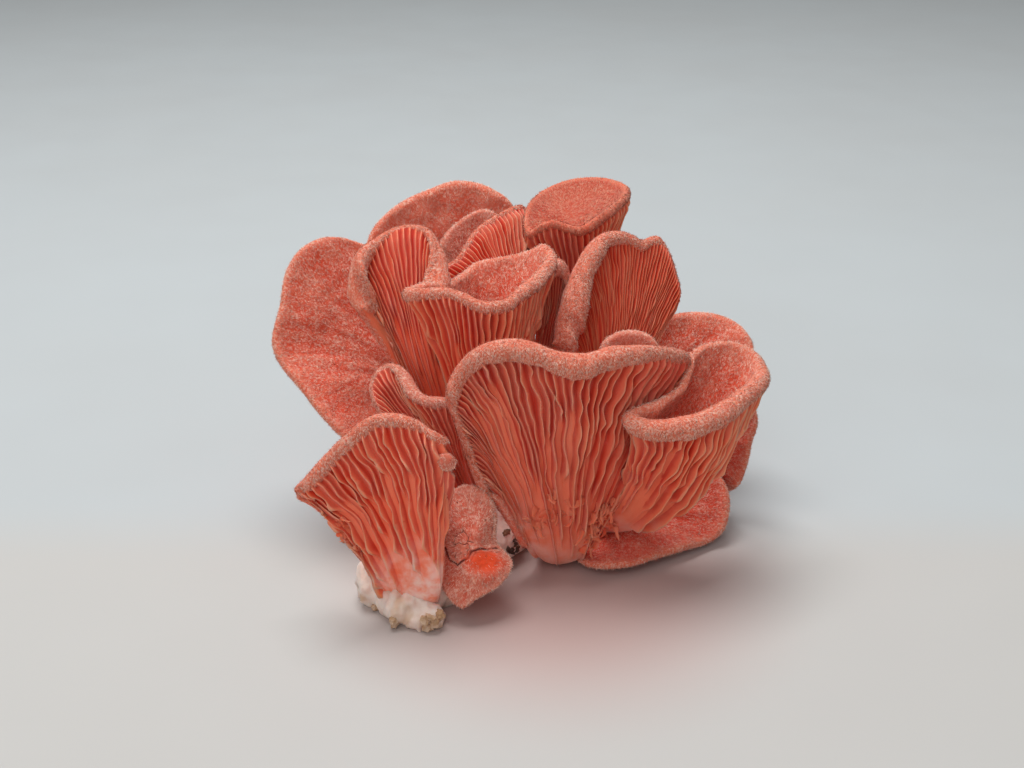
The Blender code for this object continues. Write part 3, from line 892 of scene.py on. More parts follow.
@dataclass(frozen=True)
class Gills:
    """How a cap's gills stand: their height, the space between them and their waves.

    Pairs are (share of the margin, value). Of four gills one is long, one is of middle length
    and two are short. phases and profile give a gill's section, one of each for a column.
    """

    height: float = 1.7
    spacing: tuple = ((0.0, 1.5), (1.0, 1.5))
    sway: float = 0.7
    lean: float = 0.45
    long_start: float = 0.22
    middle_start: float = 0.38
    short_start: float = 0.60
    late: tuple = ((0.0, 0.0), (1.0, 0.0))   # how much later they start
    glow: tuple = ((0.0, 0.0), (1.0, 0.0))   # how much painted red glow and shade lies deep in them
    fade: float = 0.0            # how far the stem's colour reaches past their start

    jitter = 0.24                # of the starts
    last_start = 0.84
    rise = 0.09                  # the share of a spoke in which a gill rises
    flare = 0.5                  # how much taller its lower end is
    phases = np.array((0.0, 0.17, 0.35, 0.51, 0.62, 0.68, 0.73, 0.85))
    profile = np.array((0.0, 0.18, 0.42, 0.68, 0.90, 1.0, 0.66, 0.08))

    def places(self, length: float, closed: bool) -> tuple:
        """Where the columns of the gill side lie along the margin.

        Args:
            length: of the margin.
            closed: whether the margin runs right round.

        Returns:
            The share of the margin and the running gill number of each column.
        """
        fine = np.linspace(0, 1, 400)
        spacing = along_margin(self.spacing, fine)
        run = np.concatenate(([0], np.cumsum(length * np.diff(fine) / spacing[1:])))
        total = max(4, 4 * round(run[-1] / 4))
        number = (np.arange(total)[:, None] + self.phases).ravel()
        if not closed:
            number = np.append(number, total)
        return np.interp(number, run * total / run[-1], fine), number

    def presence(self, number: np.ndarray, u: np.ndarray, t: np.ndarray,
                 noise: Noise) -> np.ndarray:
        """How far each gill has risen; its lower end flares a little before it dies away.

        Args:
            number: running gill number of each column.
            u: share of the margin of each column.
            t: share of its spoke of each corner.
            noise: the mushroom's own noise.

        Returns:
            A share for each corner, over 1 at the flare.
        """
        gill = np.floor(number).astype(int)
        jitter = noise.at(np.stack((gill * 1.0, gill * 0.37, gill * 0.11), axis=-1) + 0.5)
        start = np.select((gill % 4 == 0, gill % 4 == 2), (self.long_start, self.middle_start),
                          self.short_start)
        start = start + self.jitter * jitter + along_margin(self.late, u)
        start = np.minimum(start, self.last_start)[:, None]
        flare = np.exp(-((t - start - 0.08) / 0.035)**2) * ease(-0.2, 0.3, jitter)[:, None]
        return ease(start, start + self.rise, t) * (1 + self.flare * flare)


@dataclass
class Cap:
    """One mushroom: its stem, its margin and its gills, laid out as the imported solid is.

    margin holds (across, up, near, rim radius) in the viewing plane. Clockwise as the eye
    sees it, the gills face the eye; the other way round they face away.
    """

    node: str
    finish: Flesh
    stem: list                   # root in the foot, bend and fan point
    widths: tuple                # half the stem's width there
    depth: float                 # half the stem's thickness at the root
    margin: list
    steps: int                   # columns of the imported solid, for the same smoothing
    form: Form = Form.FAN
    gills: Gills = Gills()
    oval: float = 1.0
    fan: float = 0.4
    pit: float = 0.5
    crown: float = 0.0
    across: tuple = None
    arch: tuple = ()             # (share of the margin, lift) of spokes that curve up before the rim
    marks: tuple = ()            # cracks and dents in its upper side
    label: str = ""              # where a node has a second piece
    taper: float = 3.0           # how soon the sheet is full after its open sides
    detail: int = 1              # 1, 2 or 4 times as fine a mesh on the upper side
    kept: float = 0.45           # share of its faces that the shape needs
    seed: int = 0

    flesh = 1.0                  # half the thickness of the sheet
    valley = 0.72                # of the gill side, beside a gill
    least_rim = 0.8
    crowding = 1.15              # how tall a gill may be, in gaps between gills
    stem_crowding = 1.6          # and how much more toward the stem
    rim_share = 0.7              # of the room under the rim, that a gill takes up there
    least_gill = 0.12
    gill_growth = 0.6            # how fast gills grow tall, inward from the rim
    dome_lumps = ((0.7, 5.5), (0.16, 1.8))   # height and length
    pit_drop = 0.55              # of a hollow's floor, in radii of its lowest ring
    pit_rings = (0.2, 0.4, 0.6, 0.8)
    rim_lumps = ((0.07, 5.0), (0.04, 1.7))   # share of the rim's radius, and size
    ruffle_size = (0.35, 7.0)    # height and length of the sheet's slow waves
    skin_bumps = (0.30, 5.0)     # height and length
    skin_streaks = (0.16, 2.2)
    streak_stretch = 0.35        # how the streaks are drawn out along a spoke
    swaying = Waves(0.22, 9.0, 0.0, 2)
    leaning = Waves(0.7, 3.2, 9.0, 2)
    crests = Waves(0.9, 4.0, 3.0, 2, height=0.28)
    furrows = Waves(0.8, 14.0, 5.0, height=0.12)
    streaks = Waves(1.3, 9.0, 1.0)
    row_step = 0.62
    columns = 361
    samples = 129
    stops = 65                   # on a spoke's curve before it is evened out
    turns = 2.02                 # rim radii between the body's last row and the margin
    under_angles = np.radians((180, 162, 146, 130, 114, 98, 82, 66, 50, 36, 23, 11, 0))
    upper_angles = np.radians((-90, -72, -55, -40, -26, -13))

    @property
    def name(self) -> str:
        """What the shown piece is called."""
        return (self.label or self.node.replace("cap_", "")) + "_mushroom"

    def stem_rings(self, margin: np.ndarray, share: np.ndarray) -> list:
        """Points round or across the stem.

        Args:
            margin: the points that the spokes end on.
            share: of the margin, for each spoke.

        Returns:
            Points at the root, the bend and the fan point.
        """
        root, bend, fan = (np.array(p, float) for p in self.stem)
        closed = self.form is not Form.FAN
        if closed:
            start = margin[0] - margin[:-1].mean(axis=0)
            turn = math.atan2(start[1], start[0]) + 2 * math.pi * share
        rings = []
        axes = (bend - root, fan - bend, fan - bend)
        for centre, axis, width, oval in zip((root, bend, fan), axes, self.widths,
                                             (1, 1, self.oval)):
            axis = unit(axis)
            if closed:
                side = unit(np.array((1.0, 0, 0)) - axis[0] * axis)
                deep = np.cross(axis, side) * oval
                ring = np.cos(turn)[:, None] * side + np.sin(turn)[:, None] * deep
            else:
                side = margin[-1] - margin[0] if self.across is None else np.array(self.across)
                side = unit(side - side.dot(axis) * axis)
                ring = -np.cos(math.pi * share)[:, None] * side
            rings.append(centre + width * ring)
        return rings

    def spokes(self, margin: np.ndarray) -> np.ndarray:
        """The curves from root to margin.

        Args:
            margin: the point that each ends on.

        Returns:
            Points for each spoke, not yet evenly spaced.
        """
        share = np.linspace(0, 1, self.columns)
        root, bend, fan = self.stem_rings(margin, share)
        reach = np.linalg.norm(margin - bend, axis=1) / np.linalg.norm(fan - bend, axis=1)
        hold = np.clip(0.75 * reach, 0, 1)
        if self.form is Form.FAN:
            # Spokes at the sides leave the stem lower and spread sooner
            middle = np.sin(math.pi * share)
            bend = root + (bend - root) * (0.65 + 0.35 * middle)[:, None]
            hold = hold * (0.55 + 0.45 * middle)
        fan = bend + (fan - bend) * hold[:, None]
        outer = fan + (margin - fan) * self.fan
        if self.arch:
            lift = along_margin(self.arch, share)
            outer = outer + lift[:, None] * unit(unit(fan - bend) + 0.4 * VIEW.axes[2])
        s = np.linspace(0, 1, self.stops)[None, :, None]
        controls = (root, bend, fan, outer, margin)
        return sum(math.comb(4, k) * (1 - s)**(4 - k) * s**k * controls[k][:, None, :]
                   for k in range(5))

    def sheet(self) -> Sheet:
        """The middle surface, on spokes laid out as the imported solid's are.

        Returns:
            The sheet, sampled evenly along its spokes.
        """
        closed = self.form is not Form.FAN
        world = [(*VIEW.point(x, y, near), r) for x, y, near, r in self.margin]
        line = smooth_line(world, self.columns - closed, closed)
        if closed:
            line = np.vstack((line, line[:1]))
        curve = self.spokes(line[:, :3])
        steps = np.linalg.norm(np.diff(curve, axis=1), axis=2)
        run = np.concatenate((np.zeros((self.columns, 1)), np.cumsum(steps, axis=1)), axis=1)
        length = run[:, -1]
        even = np.linspace(0, 1, self.samples)
        centre = np.array([[np.interp(even * length[i], run[i], curve[i, :, k]) for k in range(3)]
                           for i in range(self.columns)]).transpose(0, 2, 1)
        normal = self.sheet_normals(centre, np.gradient(centre, axis=1))
        radius = np.minimum(line[:, 3], length / 6)
        margin_length = float(np.linalg.norm(np.diff(centre[:, -1], axis=0), axis=1).sum())
        return Sheet(centre, normal, length, radius, closed, margin_length)

    def sheet_normals(self, centre: np.ndarray, along: np.ndarray) -> np.ndarray:
        """Directions toward the gills.

        Args:
            centre: the middle surface.
            along: the way of the spokes at each of its points.

        Returns:
            The stem's own direction near the root, then the sheet's.
        """
        shift = max(1, round(self.columns / self.steps))
        if self.form is not Form.FAN:
            core = centre[:-1]
            around = np.roll(core, -1, axis=0) - np.roll(core, 1, axis=0)
            normal = unit(np.cross(around, along[:-1]))
            for _ in range(2):
                normal = unit(np.roll(normal, shift, axis=0) + 2 * normal
                              + np.roll(normal, -shift, axis=0))
            return np.concatenate((normal, normal[:1]))
        normal = unit(np.cross(np.gradient(centre, axis=0), along))
        index = np.arange(self.columns)
        for _ in range(2):
            before = normal[np.maximum(index - shift, 0)]
            after = normal[np.minimum(index + shift, self.columns - 1)]
            normal = unit(before + 2 * normal + after)
        side = unit(centre[-1, 0] - centre[0, 0])
        stem = unit(np.cross(side, along[1:-1].mean(axis=0)))[None, :, :]
        share = ease(0.3, 0.8, np.linspace(0, 1, self.samples))[None, :, None]
        return unit(stem * (1 - share) + normal * share)

    def thickness(self, u: np.ndarray, t: np.ndarray) -> np.ndarray:
        """Half the sheet's thickness.

        Args:
            u: shares of the margin.
            t: shares of the way from root to margin.

        Returns:
            One number for each pair.
        """
        if self.form is not Form.FAN:
            return np.full(np.broadcast(u, t).shape, self.flesh)
        turn = np.sin(math.pi * np.clip(u, 0, 1))
        half = self.flesh * np.minimum(1, self.taper * turn)
        return half + (self.depth * turn - half) * (1 - ease(0, 0.5, t))

    def build(self) -> bpy.types.Object:
        """Makes the mushroom and its down.

        Returns:
            The mushroom without its down.
        """
        sheet = self.sheet()
        noise = Noise(self.seed)
        data = MeshData()
        places, number = self.gills.places(sheet.margin_length, sheet.closed)
        rows = max(12, round(float(sheet.length.mean()) / self.row_step))
        under, hairs_under = self.lay_under(sheet, noise, places, number, rows)
        front = data.add(under.pop("corners"), **under)
        data.strip(front, sheet.closed)
        step = 4 // self.detail
        upper, hairs_upper = self.lay_upper(sheet, noise, places[::step], rows * self.detail)
        body = data.add(upper.pop("corners"), **upper)
        back = np.concatenate((body, front[::step, -1:]), axis=1)
        if sheet.closed:
            self.close_funnel(data, front, back)
        else:
            back[0, :rows] = front[0, :rows]
            back[-1, :rows] = front[-1, :rows]
        data.strip(back[:, :-1], sheet.closed, flip=True)
        self.join_margin(data, front[:, -1], back, step)
        if not sheet.closed:
            data.faces.append([*front[::step, 0][::-1].tolist(), *back[1:-1, 0].tolist()])
        thing = data.make(self.name)
        thing.modifiers.new("thin", "DECIMATE").ratio = self.kept
        settle(thing)
        show(thing, self.node, self.finish.material())
        down = self.finish.down.grow(self.name + "_down", (hairs_under, hairs_upper), self.seed)
        show(down, self.node, self.finish.down_material())
        return thing

    def lay_under(self, sheet: Sheet, noise: Noise, places: np.ndarray, number: np.ndarray,
                  rows: int) -> tuple:
        """The gill side and its half of the rim.

        Args:
            sheet: the middle surface.
            noise: the mushroom's own noise.
            places: share of the margin of each column.
            number: running gill number of each column.
            rows: rows between root and rim.

        Returns:
            The corners with their values, and the part that bears down.
        """
        length = sheet.line(sheet.length, places)[:, None]
        edge = sheet.edge(places, self.taper)
        around = sheet.chart(places, 0 * places)
        radius = np.maximum(sheet.line(sheet.radius, places), self.least_rim)
        radius = radius * sum((share * noise.at(around, size) for share, size in self.rim_lumps), 1)
        radius = radius[:, None] * np.sqrt(edge)
        angles = self.under_angles[None, :]
        t_body = np.linspace(0, 1, rows)[None, :] * (1 - self.turns * radius / length)
        t_rim = 1 - (1 - np.cos(angles)) * radius / length
        t = np.concatenate((t_body, t_rim), axis=1)
        run = t * length
        calm = ease(0.08, 0.3, t) * (1 - ease(0.82, 0.97, t))
        drift = self.gills.sway * self.swaying.at(noise, number, run) * calm
        u = places[:, None] + drift / sheet.margin_length
        phase = np.tile(self.gills.profile, len(places) // len(self.gills.phases) + 1)
        phase = phase[:len(places)][:, None]
        risen = self.gills.presence(number, places, t, noise) * edge
        gap = np.linalg.norm(np.gradient(sheet.at(sheet.centre, u, t), axis=0), axis=2)
        gap = gap / np.maximum(np.gradient(number)[:, None], 1e-6)
        tall = self.gill_height(gap, t, length, radius) * risen
        tall = tall * (1 + self.crests.at(noise, number, run))
        lean = self.gills.lean * self.leaning.at(noise, np.floor(number), run)
        tip = phase**1.5
        u = u + lean * tip * risen * (1 - ease(0.9, 0.99, t)) / sheet.margin_length
        centre = sheet.at(sheet.centre, u, t)
        normal = unit(sheet.at(sheet.normal, u, t))
        shallow = 1 - (1 - self.valley) * ease(0.1, 0.3, t) * edge
        furrow = self.furrows.at(noise, number, run) * ease(0.0, 0.1, t) * edge
        floor = self.thickness(u, t) * shallow + furrow * np.clip(gap, 0, 1)
        wall = floor + tall * phase
        lifted = (radius - self.flesh * edge) + radius * np.sin(angles)
        offset, band = wall.copy(), np.zeros_like(wall)
        gilled = angles > math.pi / 2
        offset[:, rows:] = np.where(gilled, np.maximum(lifted, wall[:, rows:]), lifted)
        band[:, rows:] = np.where(gilled, lifted >= wall[:, rows:], 1.0)
        corners = centre + normal * offset[:, :, None]
        corners = corners + normal * self.ruffle(noise, sheet, u, t)[:, :, None]
        crest = phase * risen * (1 - band)
        start = self.gills.long_start + self.gills.fade
        start = start + along_margin(self.gills.late, places)[:, None]
        streak = self.streaks.at(noise, number, run)
        # Painted red glow and shade on the gill side, growing from the middle of the spokes outward.
        glow = along_margin(self.gills.glow, places)[:, None] * ease(0.25, 0.7, t) * (1 - band)
        # sunk is low between the gills, where the finish paints shade.
        result = {"corners": corners, "crest": crest, "band": band, "under": 1.0,
                  "stalk": 0.85 * (1 - ease(start - 0.16, start + 0.14, t)),
                  "sunk": (1 - phase) * risen * (1 - band), "glow": glow, "streak": streak}
        first = rows + 1
        turned = np.concatenate((np.zeros(rows), self.under_angles / math.pi))
        share = band * (1 - 0.7 * ease(0.62, 0.85, turned))
        hairs = {"corners": corners[:, first:], "streak": streak[:, first:],
                 "share": share[:, first:], "rim": True, "closed": sheet.closed}
        return result, hairs

    def gill_height(self, gap: np.ndarray, t: np.ndarray, length: np.ndarray,
                    radius: np.ndarray) -> np.ndarray:
        """How tall the gills may stand, in the room they have.

        Args:
            gap: from gill to gill.
            t: shares of the way from root to margin.
            length: of each spoke.
            radius: of the rim.

        Returns:
            The least of the three limits at each corner.
        """
        room = gap * (1 + self.stem_crowding * (1 - ease(0.3, 0.75, t)))
        hidden = self.rim_share * (2 * radius - self.flesh - self.valley)
        past_rim = np.maximum((1 - t) * length - radius, 0)
        under_rim = np.maximum(hidden, self.least_gill) + self.gill_growth * past_rim
        return np.minimum(np.minimum(self.gills.height, self.crowding * room), under_rim)

    def ruffle(self, noise: Noise, sheet: Sheet, u: np.ndarray, t: np.ndarray) -> np.ndarray:
        """How far the sheet slowly rises and falls toward its margin."""
        height, size = self.ruffle_size
        return height * noise.at(sheet.chart(u, 12.0 * t), size) * ease(0.35, 0.8, t)

    def lay_upper(self, sheet: Sheet, noise: Noise, places: np.ndarray, rows: int) -> tuple:
        """The downy side and its half of the rim.

        Args:
            sheet: the middle surface.
            noise: the mushroom's own noise.
            places: share of the margin of each column.
            rows: rows between root and rim.

        Returns:
            The corners with their values, and the part that bears down.
        """
        length = sheet.line(sheet.length, places)[:, None]
        edge = sheet.edge(places, self.taper)
        radius = np.maximum(sheet.line(sheet.radius, places), self.least_rim)[:, None]
        radius = radius * np.sqrt(edge)
        angles = self.upper_angles[None, :]
        first = self.pit if self.form is Form.FUNNEL else 0.0
        s = first + (1 - first) * np.linspace(0, 1, rows)[None, :]
        inner = 1 - self.turns * radius / length
        squeeze = (1 - (self.turns - 1) * radius / length) / inner
        t_body = np.where(s > 0.9, s * inner * (1 + (squeeze - 1) * ease(0.9, 1.0, s)), s * inner)
        t_rim = 1 - (1 - np.cos(angles)) * radius / length
        t = np.concatenate((t_body, t_rim), axis=1)
        u = np.broadcast_to(places[:, None], t.shape)
        centre = sheet.at(sheet.centre, u, t)
        normal = unit(sheet.at(sheet.normal, u, t))
        offset = -self.thickness(u, t)
        offset[:, rows:] = (radius - self.flesh * edge) + radius * np.sin(angles)
        points = sheet.chart(u, t * length)
        stretch = (1, 1, self.streak_stretch) if sheet.closed else (1, self.streak_stretch, 1)
        (height, size), (streak_height, streak_size) = self.skin_bumps, self.skin_streaks
        streak = noise.rough(points * stretch, streak_size)
        bumps = height * noise.rough(points, size) + streak_height * streak
        calm = edge * ease(0.05, 0.2, t)
        corners = centre + normal * (offset - bumps * calm)[:, :, None]
        corners = corners + normal * self.ruffle(noise, sheet, u, t)[:, :, None]
        band = ease(0.0, 1.0, 1 - (1 - t) * length / (3.0 * np.maximum(radius, 0.1)))
        if self.form is Form.CLOSED:
            tip = sheet.at(sheet.centre, u, np.ones_like(t))[:, -1]
            tip = tip + normal[:, -1] * (radius - self.flesh * edge)
            corners = self.dome(tip, corners.shape[1], noise)
        stalk = 1 - ease(0.08, 0.3, t) if self.form is Form.FAN else 0.0
        values = {"band": band, "under": 0.0, "streak": streak, "stalk": stalk}
        for mark in self.marks:
            corners, values = mark.press(corners, values)
        start = 0 if sheet.closed else rows // 3
        bare = np.maximum(values.get("raw", 0.0), values.get("dark", 0.0))
        hairs = {"corners": corners[:, start:], "streak": streak[:, start:],
                 "share": (ease(0.0, 0.4, t) * (1 - 0.85 * bare))[:, start:],
                 "rim": False, "closed": sheet.closed}
        return {"corners": corners, **values}, hairs

    def dome(self, rim: np.ndarray, rows: int, noise: Noise) -> np.ndarray:
        """The upper side of a closed top, a dome or a dish between the crest of its rim.

        Args:
            rim: points on that crest.
            rows: from the middle to it.
            noise: the mushroom's own noise.

        Returns:
            The corners.
        """
        middle = rim.mean(axis=0)
        up = unit(middle - np.array(self.stem[0], float))
        share = np.linspace(0.01, 1 - 1 / rows, rows)[None, :, None]
        corners = middle + (rim[:, None, :] - middle) * share
        corners = corners + up * self.crown * (1 - share**2)**1.15
        lumps = sum(height * noise.rough(corners, size) for height, size in self.dome_lumps)
        return corners + (lumps * (1 - share[..., 0]**4))[..., None] * up

    def close_funnel(self, data: MeshData, front: np.ndarray, back: np.ndarray) -> None:
        """Closes a funnel's hollow at its pit, and its stem at the root.

        Args:
            data: the mesh.
            front: numbers of the gill side's corners.
            back: numbers of the upper side's.
        """
        corners = np.concatenate(data.corners)
        ring, wall = corners[back[:, 0]], corners[front[:, 0]]
        middle = ring.mean(axis=0)
        first = back[:, 0]
        if self.form is Form.FUNNEL:
            drop = self.pit_drop * np.linalg.norm(ring - middle, axis=1).mean()
            middle = middle - drop * unit(middle - wall.mean(axis=0))
            inner = [middle + (ring - middle) * share for share in self.pit_rings]
            grid = data.add(np.stack(inner, axis=1), band=0.0, under=0.0)
            data.strip(np.concatenate((grid, back[:, :1]), axis=1), True, flip=True)
            first = grid[:, 0]
        pit = int(data.add(middle[None, :], band=0.0)[0])
        root = int(data.add(wall.mean(axis=0)[None, :], stalk=1.0)[0])
        data.fan(pit, first)
        data.fan(root, front[:, 0], flip=True)

    def join_margin(self, data: MeshData, line: np.ndarray, back: np.ndarray, step: int) -> None:
        """Joins the upper side's last row to the finer row of the rim.

        Args:
            data: the mesh.
            line: numbers of the rim's corners.
            back: numbers of the upper side's.
            step: rim corners to one of the upper side's.
        """
        inner = back[:, -2]
        count = len(inner)
        for i in range(count - (self.form is Form.FAN)):
            outer = [int(line[j % len(line)]) for j in range(i * step, i * step + step + 1)]
            data.faces.append([int(inner[i]), *outer, int(inner[(i + 1) % count])])


@dataclass
class Foot:
    """The flat-cut foot: lumps grown together, wrinkled and pitted."""

    lumps: tuple                 # world centre and radii of each
    node: str = "stem_base"
    name: str = "foot"
    voxel: float = 0.55
    rounds: int = 6              # of smoothing
    sunk: float = 2.0            # how deep the pits are
    creased: float = 1.3         # how high the folds are
    seed: int = 31
    cream: tuple = srgb(246, 226, 214)
    shade: tuple = srgb(232, 200, 184)
    worn: tuple = srgb(206, 166, 130)
    pink_tint_and_painted_bounce: tuple = srgb(242, 204, 192)       # the foot's own pink, toward the stems
    specks: tuple = srgb(84, 52, 34)
    pitted: tuple = srgb(150, 104, 80)

    def shape(self) -> bpy.types.Object:
        """The lumps joined into one skin.

        Returns:
            The object, not yet cut.
        """
        mesh = bmesh.new()
        for centre, radii in self.lumps:
            size = Matrix.Diagonal([*(MM * r for r in radii), 1])
            place = Matrix.Translation([MM * c for c in centre])
            bmesh.ops.create_icosphere(mesh, subdivisions=4, radius=1, matrix=place @ size)
        data = bpy.data.meshes.new(self.name)
        mesh.to_mesh(data)
        mesh.free()
        thing = put(self.name, data)
        remesh = thing.modifiers.new("join", "REMESH")
        remesh.mode = "VOXEL"
        remesh.voxel_size = self.voxel * MM
        thing.modifiers.new("soften", "SMOOTH").iterations = self.rounds
        settle(thing)
        return thing

    def build(self) -> bpy.types.Object:
        """Makes the foot.

        Returns:
            The object, cut flat and dressed.
        """
        thing = self.shape()
        data = thing.data
        corners, normals = (np.empty(len(data.vertices) * 3) for _ in range(2))
        data.vertices.foreach_get("co", corners)
        data.vertices.foreach_get("normal", normals)
        corners, normals = corners.reshape(-1, 3) / MM, normals.reshape(-1, 3)
        noise = Noise(self.seed)
        folds = 1 - np.abs(noise.rough(corners * (1.5, 1.5, 0.6), 5.0))
        lumps = 0.8 * noise.rough(corners, 6.0, 2) + 0.35 * noise.at(corners, 1.8)
        pits = np.maximum(noise.at(corners + 40, 2.4) - 0.55, 0) * self.sunk
        lift = lumps + self.creased * (folds - 0.7) + 0.12 * noise.at(corners, 0.8) - pits
        moved = corners + normals * lift[:, None]
        values = {"worn": ease(0.35, 0.9, noise.rough(corners + 11, 3.5)),
                  "pit": np.clip(pits, 0, 1)}
        for key, value in values.items():
            kept = data.attributes.new(key, "FLOAT", "POINT").data
            kept.foreach_set("value", value.astype(np.float32))
        data.vertices.foreach_set("co", (moved * MM).ravel())
        self.cut(data)
        data.shade_smooth()
        show(thing, self.node, self.material())
        return thing

    @staticmethod
    def cut(data: bpy.types.Mesh) -> None:
        """Takes off what is below the floor and closes the cut.

        Args:
            data: the foot's mesh.
        """
        mesh = bmesh.new()
        mesh.from_mesh(data)
        geometry = [*mesh.verts, *mesh.edges, *mesh.faces]
        cut = bmesh.ops.bisect_plane(mesh, geom=geometry, dist=1e-7, plane_co=(0, 0, 0),
                                     plane_no=(0, 0, -1), clear_outer=True)
        rim = [part for part in cut["geom_cut"] if isinstance(part, bmesh.types.BMEdge)]
        bmesh.ops.triangle_fill(mesh, edges=rim, use_beauty=True, normal=(0, 0, -1))
        mesh.to_mesh(data)
        mesh.free()

    def material(self) -> bpy.types.Material:
        """Cream mycelium, tan where it is worn, pinker toward the stems, with dark specks.

        Returns:
            The material.
        """
        skin = Surface("mycelium")
        cloud = skin.span(skin.noise(220.0, 4.0), 0.35, 0.7)
        colour = skin.mix(cloud, self.cream, self.shade)
        colour = skin.mix(skin.times(skin.value("worn"), 0.7), colour, self.worn)
        place = skin.node("ShaderNodeSeparateXYZ", {0: skin.place()}).outputs
        near_stems = skin.maths("MAXIMUM", skin.span(place[1], -0.029, -0.022, 0.0, 0.75),
                                skin.span(place[2], 0.006, 0.013, 0.0, 0.8))
        colour = skin.mix(near_stems, colour, self.pink_tint_and_painted_bounce)
        bits = skin.span(skin.noise(900.0, 2.0), 0.70, 0.76)
        bits = skin.times(bits, skin.span(skin.noise(160.0, 2.0), 0.5, 0.62))
        colour = skin.mix(bits, colour, self.specks)
        colour = skin.mix(skin.value("pit"), colour, self.pitted)
        skin.wear(Base_Color=colour, Roughness=skin.span(cloud, 0.0, 1.0, 0.62, 0.85))
        grain = skin.maths("ADD", skin.noise(900.0, 4.0, 0.7),
                           skin.times(skin.noise(3200.0, 2.0), 0.4))
        skin.bump(grain, 0.0002, 0.7)
        skin.fix(Subsurface_Weight=0.25, Subsurface_Radius=(1.0, 0.6, 0.4),
                 Subsurface_Scale=0.0015, Sheen_Weight=0.15)
        return skin.material


class Sight:
    """The eye's rays, and where they meet the pieces they are cast at."""

    def __init__(self, hosts: list) -> None:
        """Takes the surfaces of the pieces.

        Args:
            hosts: the pieces.
        """
        corners, faces = [], []
        for host in hosts:
            faces += [[len(corners) + i for i in p.vertices] for p in host.data.polygons]
            corners += [v.co.copy() for v in host.data.vertices]
        self.tree = BVHTree.FromPolygons(corners, faces)
        self.eye = Vector(VIEW.eye) * MM

    def meet(self, across: float, up: float) -> tuple:
        """Where the ray through a place in the viewing plane meets a piece first.

        Args:
            across: distance to the right in the plane.
            up: distance up in the plane.

        Returns:
            The point and its normal on the eye's side, or None for both.
        """
        way = Vector(VIEW.point(across, up, 0.0)) * MM - self.eye
        hit, normal = self.tree.ray_cast(self.eye, way.normalized())[:2]
        if hit is not None and normal.dot(way) > 0:
            normal = -normal
        return hit, normal


@dataclass(frozen=True)
class Crumbs:
    """Bits of growing medium that stick to the foot, where the eye sees them."""

    name: str
    places: tuple                # (across, up, spread, how many) in the viewing plane
    smallest: float
    largest: float
    dark: tuple
    light: tuple
    node: str = "stem_base"
    rough: float = 0.12          # how far a corner strays, in shares of the largest radius
    seed: int = 41

    def build(self, foot: bpy.types.Object) -> None:
        """Makes the bits on the foot's surface.

        Args:
            foot: the piece they stick to.
        """
        draw = np.random.default_rng(self.seed)
        sight = Sight([foot])
        mesh = bmesh.new()
        for across, up, spread, count in self.places:
            for _ in range(count):
                hit = sight.meet(*(np.array((across, up)) + spread * draw.normal(size=2)))[0]
                radii = draw.uniform(self.smallest, self.largest, 3) * MM
                turn = Euler(draw.uniform(0, 6, 3)).to_matrix().to_4x4()
                if hit is None or hit.z < self.smallest * MM:
                    continue
                bit = bmesh.ops.create_icosphere(
                    mesh, subdivisions=2, radius=1,
                    matrix=Matrix.Translation(hit) @ turn @ Matrix.Diagonal([*radii, 1]))
                for corner in bit["verts"]:
                    corner.co += Vector(draw.normal(size=3)) * self.rough * self.largest * MM
                    corner.co.z = max(corner.co.z, 0)
        data = bpy.data.meshes.new(self.name)
        mesh.to_mesh(data)
        mesh.free()
        show(put(self.name, data), self.node, self.material())

    def material(self) -> bpy.types.Material:
        """Matt bits of two tones.

        Returns:
            The material.
        """
        bits = Surface(self.name)
        tone = bits.span(bits.noise(420.0), 0.4, 0.65)
        bits.wear(Base_Color=bits.mix(tone, self.dark, self.light),
                  Roughness=bits.span(tone, 0.0, 1.0, 0.7, 0.9))
        bits.bump(bits.noise(4000.0), 0.0001, 0.8)
        return bits.material


